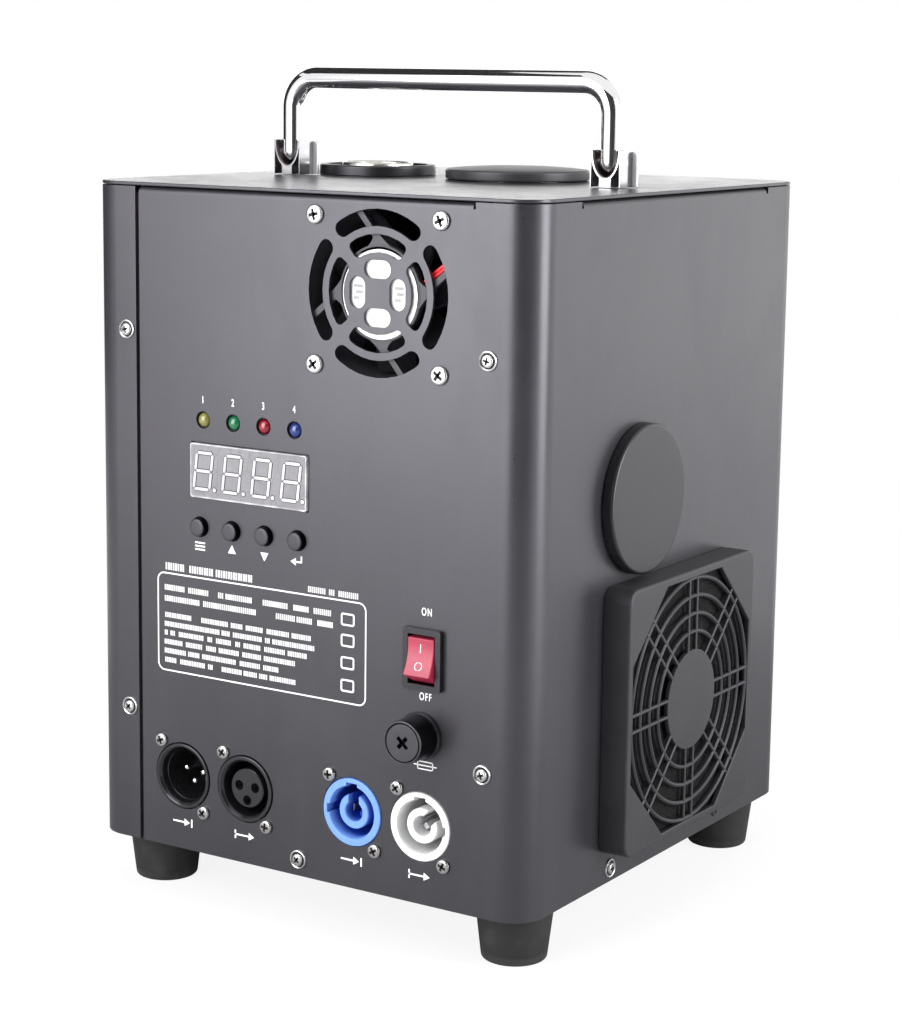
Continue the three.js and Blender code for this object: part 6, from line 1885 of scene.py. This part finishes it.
def frame_mark(low, high, rounding, line):
    """Outline of a rounded rectangle between two corners, each an X and a Z."""
    outer = block("field", (low[0], -0.07, low[1]), (high[0], 0.01, high[1]))
    inner_low = (low[0] + line, -1, low[1] + line)
    inner = block("tool", inner_low, (high[0] - line, 1, high[1] - line))
    round_edges(outer, "Y", *rounding[0])
    round_edges(inner, "Y", *rounding[1])
    return cut(outer, inner)


def field_marks():
    """The outlined field, the rows of strokes and four small empty squares."""
    marks = [frame_mark((-62.2, 65.0), (28.5, 100.9), ((3.0, 8), (2.5, 8)), 0.5)]
    for z, height, groups in FIELD_ROWS:
        marks += [tally(start, end, z, height) for start, end in groups]
    for z in (94.3, 87.0, 79.2, 71.3):
        marks.append(frame_mark((18.0, z - 2.2), (23.6, z + 2.2), ((0.8, 3), (0.4, 2)), 0.6))
    return marks


def make_print():
    """All the printed marks in one piece."""
    marks = control_marks() + socket_marks() + field_marks()
    settle(joined("panel_print", marks), "housing", "white_plastic", look="print_ink", angle=20)


# Inner pieces that keep their CAD shape


def dress_inner_nodes():
    """Gives each CAD node that no piece replaces the finish that the record names."""
    slots = {part["node"]: part["material_slot"] for part in frame["record"]["subparts"]}
    for node, piece in frame["nodes"].items():
        if piece.hide_render:
            continue
        piece.data.materials.clear()
        piece.data.materials.append(finish(slots[node]))


def make_heater_coil():
    """Round wire wound with the CAD coil's pitch round the heater core; wire is half its thickness."""
    furnace, core, wall, gap, wire = 97.8, 15.5, 1.5, 0.3, 1.2
    pitch, winds = 7, 4
    low = furnace + wall + gap + wire
    radius = core + gap + wire + 0.3
    clear()
    bpy.ops.mesh.primitive_circle_add(
        vertices=14, radius=wire * MM, location=(radius * MM, 0, 0), rotation=(math.pi / 2, 0, 0)
    )
    piece = named("element_winding")
    steps = 40
    with shaping(piece, "VERT"):
        take_all()
        for _ in range(winds * steps):
            bpy.ops.mesh.extrude_region()
            rotate(360 / steps, "Z")
            move(z=pitch / steps)
        take_all()
        bpy.ops.mesh.fill_holes(sides=0)
        face_outwards()
    place(piece, *OUTLET, low)
    settle(piece, "housing", "heating_wire", "heater_coil")


# Stage


def camera_like_photo():
    """Camera solved from the photograph: place, turn, tilt, and focal length and centre in its pixels."""
    turn, tilt, roll = (math.radians(a) for a in (32.689, 9.391, 0.761))
    focal, wide, high = 2404.3, 900, 1030
    centre = (459.0, 467.0)
    spot = (0.47487, -0.73895, 0.29759)
    level = math.cos(tilt)
    forward = Vector((-math.sin(turn) * level, math.cos(turn) * level, -math.sin(tilt)))
    right = Vector((math.cos(turn), math.sin(turn), 0))
    up = right.cross(forward)
    across = right * math.cos(roll) + up * math.sin(roll)
    upward = up * math.cos(roll) - right * math.sin(roll)
    data = bpy.data.cameras.new("camera")
    data.sensor_width = 36.0
    data.sensor_fit = "AUTO"
    data.lens = focal * data.sensor_width / high
    data.shift_x = (wide / 2 - centre[0]) / high
    data.shift_y = (centre[1] - high / 2) / high
    data.clip_start = 0.01
    data.clip_end = 20
    camera = bpy.data.objects.new("camera", data)
    link(camera)
    axes = Matrix((across, upward, -forward)).transposed()
    camera.matrix_world = Matrix.Translation(spot) @ axes.to_4x4()
    bpy.context.scene.camera = camera


def aimed(at, aim):
    return (Vector(aim) - Vector(at)).to_track_quat("-Z", "Y").to_euler()


def softbox(name, at, aim, size, power):
    """Rectangular lamp that looks at a point."""
    data = bpy.data.lights.new(name, "AREA")
    data.shape = "RECTANGLE"
    data.size, data.size_y = size
    data.energy = power
    lamp = bpy.data.objects.new(name, data)
    link(lamp)
    lamp.location = at
    lamp.rotation_euler = aimed(at, aim)
    return lamp


def seen_directly(tree):
    """1 where a camera, mirror or glass ray looks at the backdrop."""
    path = tree.nodes.new("ShaderNodeLightPath")
    most = None
    for ray in ("Is Camera Ray", "Is Glossy Ray", "Is Transmission Ray"):
        if most is None:
            most = path.outputs[ray]
            continue
        larger = tree.nodes.new("ShaderNodeMath")
        larger.operation = "MAXIMUM"
        tree.links.new(most, larger.inputs[0])
        tree.links.new(path.outputs[ray], larger.inputs[1])
        most = larger.outputs[0]
    return most


def dress_world():
    """Even dim light for surfaces, and a white backdrop where it is seen."""
    world = bpy.data.worlds.new("studio")
    bpy.context.scene.world = world
    world.use_nodes = True
    tree = world.node_tree
    tree.nodes.clear()
    output = tree.nodes.new("ShaderNodeOutputWorld")
    dim = tree.nodes.new("ShaderNodeBackground")
    dim.inputs["Color"].default_value = (0.95, 0.96, 1.0, 1)
    dim.inputs["Strength"].default_value = bpy.context.scene.spark_sizes.room_light
    white = tree.nodes.new("ShaderNodeBackground")
    white.inputs["Color"].default_value = (1, 1, 1, 1)
    white.inputs["Strength"].default_value = 1.0
    mixer = tree.nodes.new("ShaderNodeMixShader")
    tree.links.new(seen_directly(tree), mixer.inputs[0])
    tree.links.new(dim.outputs[0], mixer.inputs[1])
    tree.links.new(white.outputs[0], mixer.inputs[2])
    tree.links.new(mixer.outputs[0], output.inputs[0])


def lay_floor():
    """Pale floor that fades into the white backdrop."""
    clear()
    bpy.ops.mesh.primitive_plane_add(size=8, location=(0, 0, 0))
    floor = named("floor")
    ground = Finish("floor_finish")
    pattern = ground.noise(30.0, 3.0, 0.5)
    colour = ground.tint(pattern, (0.90, 0.90, 0.90), (0.93, 0.93, 0.93))
    ground.set(base_color=colour, roughness=0.8 + pattern * 0.1, specular_ior_level=0.2)
    glow = ground.node("ShaderNodeEmission", None, {"Color": (1, 1, 1), "Strength": 1.0})
    mixer = ground.node("ShaderNodeMixShader")
    reach = ground.read("ShaderNodeVectorMath", 1, {"operation": "LENGTH"}, {0: ground.point})
    paths = ground.node("ShaderNodeLightPath")
    camera = Reading(ground, paths.outputs["Is Camera Ray"])
    mirror = Reading(ground, paths.outputs["Is Glossy Ray"])
    near = camera * (0.88 + reach.between(0.22, 0.75) * 0.12)
    share = near.maths("MAXIMUM", near, mirror * reach.between(0.8, 1.6))
    ground.tree.links.new(share.socket, mixer.inputs[0])
    ground.tree.links.new(ground.shader.outputs[0], mixer.inputs[1])
    ground.tree.links.new(glow.outputs[0], mixer.inputs[2])
    ground.tree.links.new(mixer.outputs[0], ground.output.inputs["Surface"])
    floor.data.materials.append(ground.material)


def dark_card(name, at, aim, width, height, tone=0.016):
    """Card that only mirrors see; tone is how light it is."""
    clear()
    bpy.ops.mesh.primitive_plane_add(size=1)
    card = bpy.context.object
    card.scale = (width, height, 1)
    card.rotation_euler = aimed(at, aim)
    card.location = at
    card = named(name)
    cloth = Finish(name + "_finish")
    weave = cloth.noise(3.0, 3.0, 0.5)
    grey = (tone, tone, tone)
    cloth.set(base_color=cloth.tint(weave, shade(grey, 0.75), shade(grey, 1.25)), roughness=0.9)
    card.data.materials.append(cloth.material)
    card.visible_camera = False
    card.visible_diffuse = False
    card.visible_shadow = False
    card.visible_transmission = False


def set_stage():
    """White studio round the object, lit and shaded like the photograph."""
    camera_like_photo()
    dress_world()
    lay_floor()
    power = bpy.context.scene.spark_sizes.lamp_power
    centre = (0, 0, 0.2)
    softbox("left_softbox", (-0.18, -0.62, 0.38), (0, -0.1, 0.2), (0.52, 0.68), 7.0 * power)
    softbox("side_softbox", (1.0, 0.10, 0.43), (0.09, -0.09, 0.2), (0.46, 0.8), 12.6 * power)
    softbox("right_softbox", (0.62, 0.95, 0.28), centre, (0.9, 0.54), 1.6 * power)
    softbox("rear_softbox", (-0.95, 1.45, 0.36), centre, (1.7, 0.5), 6 * power)
    fill = softbox("top_softbox", (0.1, -0.1, 1.6), centre, (1.2, 1.2), 14 * power)
    fill.visible_glossy = False
    corner = (0.087, -0.09, 0.2)
    dark_card("right_card", (0.42, -0.52, 0.36), corner, 0.64, 0.72)
    dark_card("low_card", (0, -0.03, 0.003), (0, -0.03, 1), 0.82, 0.86, 0.36)
    dark_card("left_card", (-1.15, 0.05, 0.45), centre, 1.5, 0.9)
    dark_card("high_card", (-0.7, 0.75, 1.12), (0, 0, 0.28), 1.7, 0.95)
    dark_card("upper_card", (-0.95, -0.1, 1.35), (0, 0, 0.28), 1.5, 0.6)
    bpy.context.scene.view_settings.view_transform = "Standard"


# Settings, operators and panel


class SparkSizes(bpy.types.PropertyGroup):
    corner_radius: bpy.props.FloatProperty(
        name="Corner radius",
        description="Radius of the housing's upright bends",
        default=12.0 * MM,
        unit="LENGTH",
    )
    handle_rod: bpy.props.FloatProperty(
        name="Handle rod",
        description="Diameter of the carrying handle's rod",
        default=7.8 * MM,
        unit="LENGTH",
    )
    room_light: bpy.props.FloatProperty(
        name="Room light",
        description="Strength of the even light from all round",
        default=0.4,
    )
    lamp_power: bpy.props.FloatProperty(
        name="Lamp power",
        description="Multiplies the power of every softbox",
        default=1.0,
    )


class SparkColours(bpy.types.PropertyGroup):
    sheet: bpy.props.FloatVectorProperty(
        name="Sheet",
        description="Powder coat of the housing",
        default=(0.020, 0.019, 0.022),
        subtype="COLOR",
    )
    plastic: bpy.props.FloatVectorProperty(
        name="Black plastic",
        description="Signal sockets, collar, fuse holder, port cap and bezel",
        default=(0.009, 0.009, 0.010),
        subtype="COLOR",
    )
    cover: bpy.props.FloatVectorProperty(
        name="Filter cover",
        description="Plastic of the filter cover",
        default=(0.018, 0.018, 0.020),
        subtype="COLOR",
    )
    rocker: bpy.props.FloatVectorProperty(
        name="Rocker",
        description="Plastic of the power rocker",
        default=(0.30, 0.020, 0.050),
        subtype="COLOR",
    )
    power_in: bpy.props.FloatVectorProperty(
        name="Power inlet",
        description="Plastic of the power inlet",
        default=(0.13, 0.26, 0.66),
        subtype="COLOR",
    )


class SPARK_OT_stage(bpy.types.Operator):
    """Sets the camera, the lamps, the backdrop and the floor"""

    bl_idname = "spark.stage"
    bl_label = "Stage"

    def execute(self, context):
        set_stage()
        return {"FINISHED"}


class SPARK_OT_wrap_shell(bpy.types.Operator):
    """Folds the sheet with the control panel"""

    bl_idname = "spark.wrap_shell"
    bl_label = "Wrap shell"

    def execute(self, context):
        make_wrap_shell()
        return {"FINISHED"}


class SPARK_OT_left_cover(bpy.types.Operator):
    """Folds the left-hand cover"""

    bl_idname = "spark.left_cover"
    bl_label = "Left cover"

    def execute(self, context):
        make_left_cover()
        return {"FINISHED"}


class SPARK_OT_top_plate(bpy.types.Operator):
    """Cuts the top plate"""

    bl_idname = "spark.top_plate"
    bl_label = "Top plate"

    def execute(self, context):
        make_top_plate()
        return {"FINISHED"}


class SPARK_OT_feet(bpy.types.Operator):
    """Turns the four rubber feet"""

    bl_idname = "spark.feet"
    bl_label = "Feet"

    def execute(self, context):
        make_feet()
        return {"FINISHED"}


class SPARK_OT_handle(bpy.types.Operator):
    """Bends the handle and makes its brackets and pins"""

    bl_idname = "spark.handle"
    bl_label = "Handle"

    def execute(self, context):
        make_handle()
        make_brackets()
        return {"FINISHED"}


class SPARK_OT_outlet(bpy.types.Operator):
    """Turns the outlet collar and the nozzle"""

    bl_idname = "spark.outlet"
    bl_label = "Spark outlet"

    def execute(self, context):
        make_outlet()
        return {"FINISHED"}


class SPARK_OT_lid(bpy.types.Operator):
    """Turns the hopper lid"""

    bl_idname = "spark.lid"
    bl_label = "Hopper lid"

    def execute(self, context):
        make_lid()
        return {"FINISHED"}


class SPARK_OT_lights(bpy.types.Operator):
    """Turns the four light lenses and their seats"""

    bl_idname = "spark.lights"
    bl_label = "Status lights"

    def execute(self, context):
        make_lights()
        return {"FINISHED"}


class SPARK_OT_display(bpy.types.Operator):
    """Shapes the display and its digits"""

    bl_idname = "spark.display"
    bl_label = "Display"

    def execute(self, context):
        make_display()
        return {"FINISHED"}


class SPARK_OT_buttons(bpy.types.Operator):
    """Turns the four push buttons"""

    bl_idname = "spark.buttons"
    bl_label = "Buttons"

    def execute(self, context):
        make_buttons()
        return {"FINISHED"}


class SPARK_OT_switch(bpy.types.Operator):
    """Shapes the switch bezel and its rocker"""

    bl_idname = "spark.switch"
    bl_label = "Rocker switch"

    def execute(self, context):
        make_switch_bezel()
        make_rocker()
        return {"FINISHED"}


class SPARK_OT_fuse(bpy.types.Operator):
    """Turns the fuse holder and its cap"""

    bl_idname = "spark.fuse"
    bl_label = "Fuse holder"

    def execute(self, context):
        make_fuse()
        return {"FINISHED"}


class SPARK_OT_signal(bpy.types.Operator):
    """Makes the pin and hole sockets"""

    bl_idname = "spark.signal"
    bl_label = "Signal sockets"

    def execute(self, context):
        make_signal_inlet()
        make_signal_outlet()
        return {"FINISHED"}


class SPARK_OT_power(bpy.types.Operator):
    """Makes the two twist-lock sockets"""

    bl_idname = "spark.power"
    bl_label = "Power sockets"

    def execute(self, context):
        make_power_sockets()
        return {"FINISHED"}


class SPARK_OT_exhaust(bpy.types.Operator):
    """Makes the exhaust fan and its red wires"""

    bl_idname = "spark.exhaust"
    bl_label = "Exhaust fan"

    def execute(self, context):
        make_exhaust_fan()
        make_fan_lead()
        return {"FINISHED"}


class SPARK_OT_intake(bpy.types.Operator):
    """Makes the fan behind the filter"""

    bl_idname = "spark.intake"
    bl_label = "Intake fan"

    def execute(self, context):
        make_intake_fan()
        return {"FINISHED"}


class SPARK_OT_filter(bpy.types.Operator):
    """Shapes the filter cover and its foam"""

    bl_idname = "spark.filter"
    bl_label = "Filter"

    def execute(self, context):
        make_filter_cover()
        make_foam()
        return {"FINISHED"}


class SPARK_OT_port(bpy.types.Operator):
    """Turns the port cap"""

    bl_idname = "spark.port"
    bl_label = "Port cap"

    def execute(self, context):
        make_port_cap()
        return {"FINISHED"}


class SPARK_OT_screws(bpy.types.Operator):
    """Makes the screws and their cup washers"""

    bl_idname = "spark.screws"
    bl_label = "Screws"

    def execute(self, context):
        make_screws()
        return {"FINISHED"}


class SPARK_OT_print(bpy.types.Operator):
    """Lays the printed marks on the panel"""

    bl_idname = "spark.print"
    bl_label = "Panel print"

    def execute(self, context):
        make_print()
        return {"FINISHED"}


class SPARK_OT_coil(bpy.types.Operator):
    """Winds the heater coil"""

    bl_idname = "spark.coil"
    bl_label = "Heater coil"

    def execute(self, context):
        make_heater_coil()
        return {"FINISHED"}


class SPARK_OT_inner(bpy.types.Operator):
    """Gives the inner pieces their finishes"""

    bl_idname = "spark.inner"
    bl_label = "Inner pieces"

    def execute(self, context):
        dress_inner_nodes()
        return {"FINISHED"}


# In the order in which main calls them
OPERATORS = [
    SPARK_OT_stage,
    SPARK_OT_wrap_shell,
    SPARK_OT_left_cover,
    SPARK_OT_top_plate,
    SPARK_OT_feet,
    SPARK_OT_handle,
    SPARK_OT_outlet,
    SPARK_OT_lid,
    SPARK_OT_lights,
    SPARK_OT_display,
    SPARK_OT_buttons,
    SPARK_OT_switch,
    SPARK_OT_fuse,
    SPARK_OT_signal,
    SPARK_OT_power,
    SPARK_OT_exhaust,
    SPARK_OT_intake,
    SPARK_OT_filter,
    SPARK_OT_port,
    SPARK_OT_screws,
    SPARK_OT_print,
    SPARK_OT_coil,
    SPARK_OT_inner,
]


class SPARK_PT_panel(bpy.types.Panel):
    bl_label = "Cold spark machine"
    bl_idname = "SPARK_PT_panel"
    bl_space_type = "VIEW_3D"
    bl_region_type = "UI"
    bl_category = "Spark"

    def draw(self, context):
        for group in (context.scene.spark_sizes, context.scene.spark_colours):
            for name in group.__annotations__:
                self.layout.prop(group, name)
        for kind in OPERATORS:
            self.layout.operator(kind.bl_idname)


CLASSES = [SparkSizes, SparkColours, *OPERATORS, SPARK_PT_panel]


def register():
    for kind in CLASSES:
        bpy.utils.register_class(kind)
    bpy.types.Scene.spark_sizes = bpy.props.PointerProperty(type=SparkSizes)
    bpy.types.Scene.spark_colours = bpy.props.PointerProperty(type=SparkColours)


def unregister():
    del bpy.types.Scene.spark_sizes
    del bpy.types.Scene.spark_colours
    for kind in reversed(CLASSES):
        bpy.utils.unregister_class(kind)


def main():
    register()
    for kind in OPERATORS:
        name = kind.bl_idname.split(".")[1]
        getattr(bpy.ops.spark, name)()
    clear()


if __name__ == "__main__":
    main()
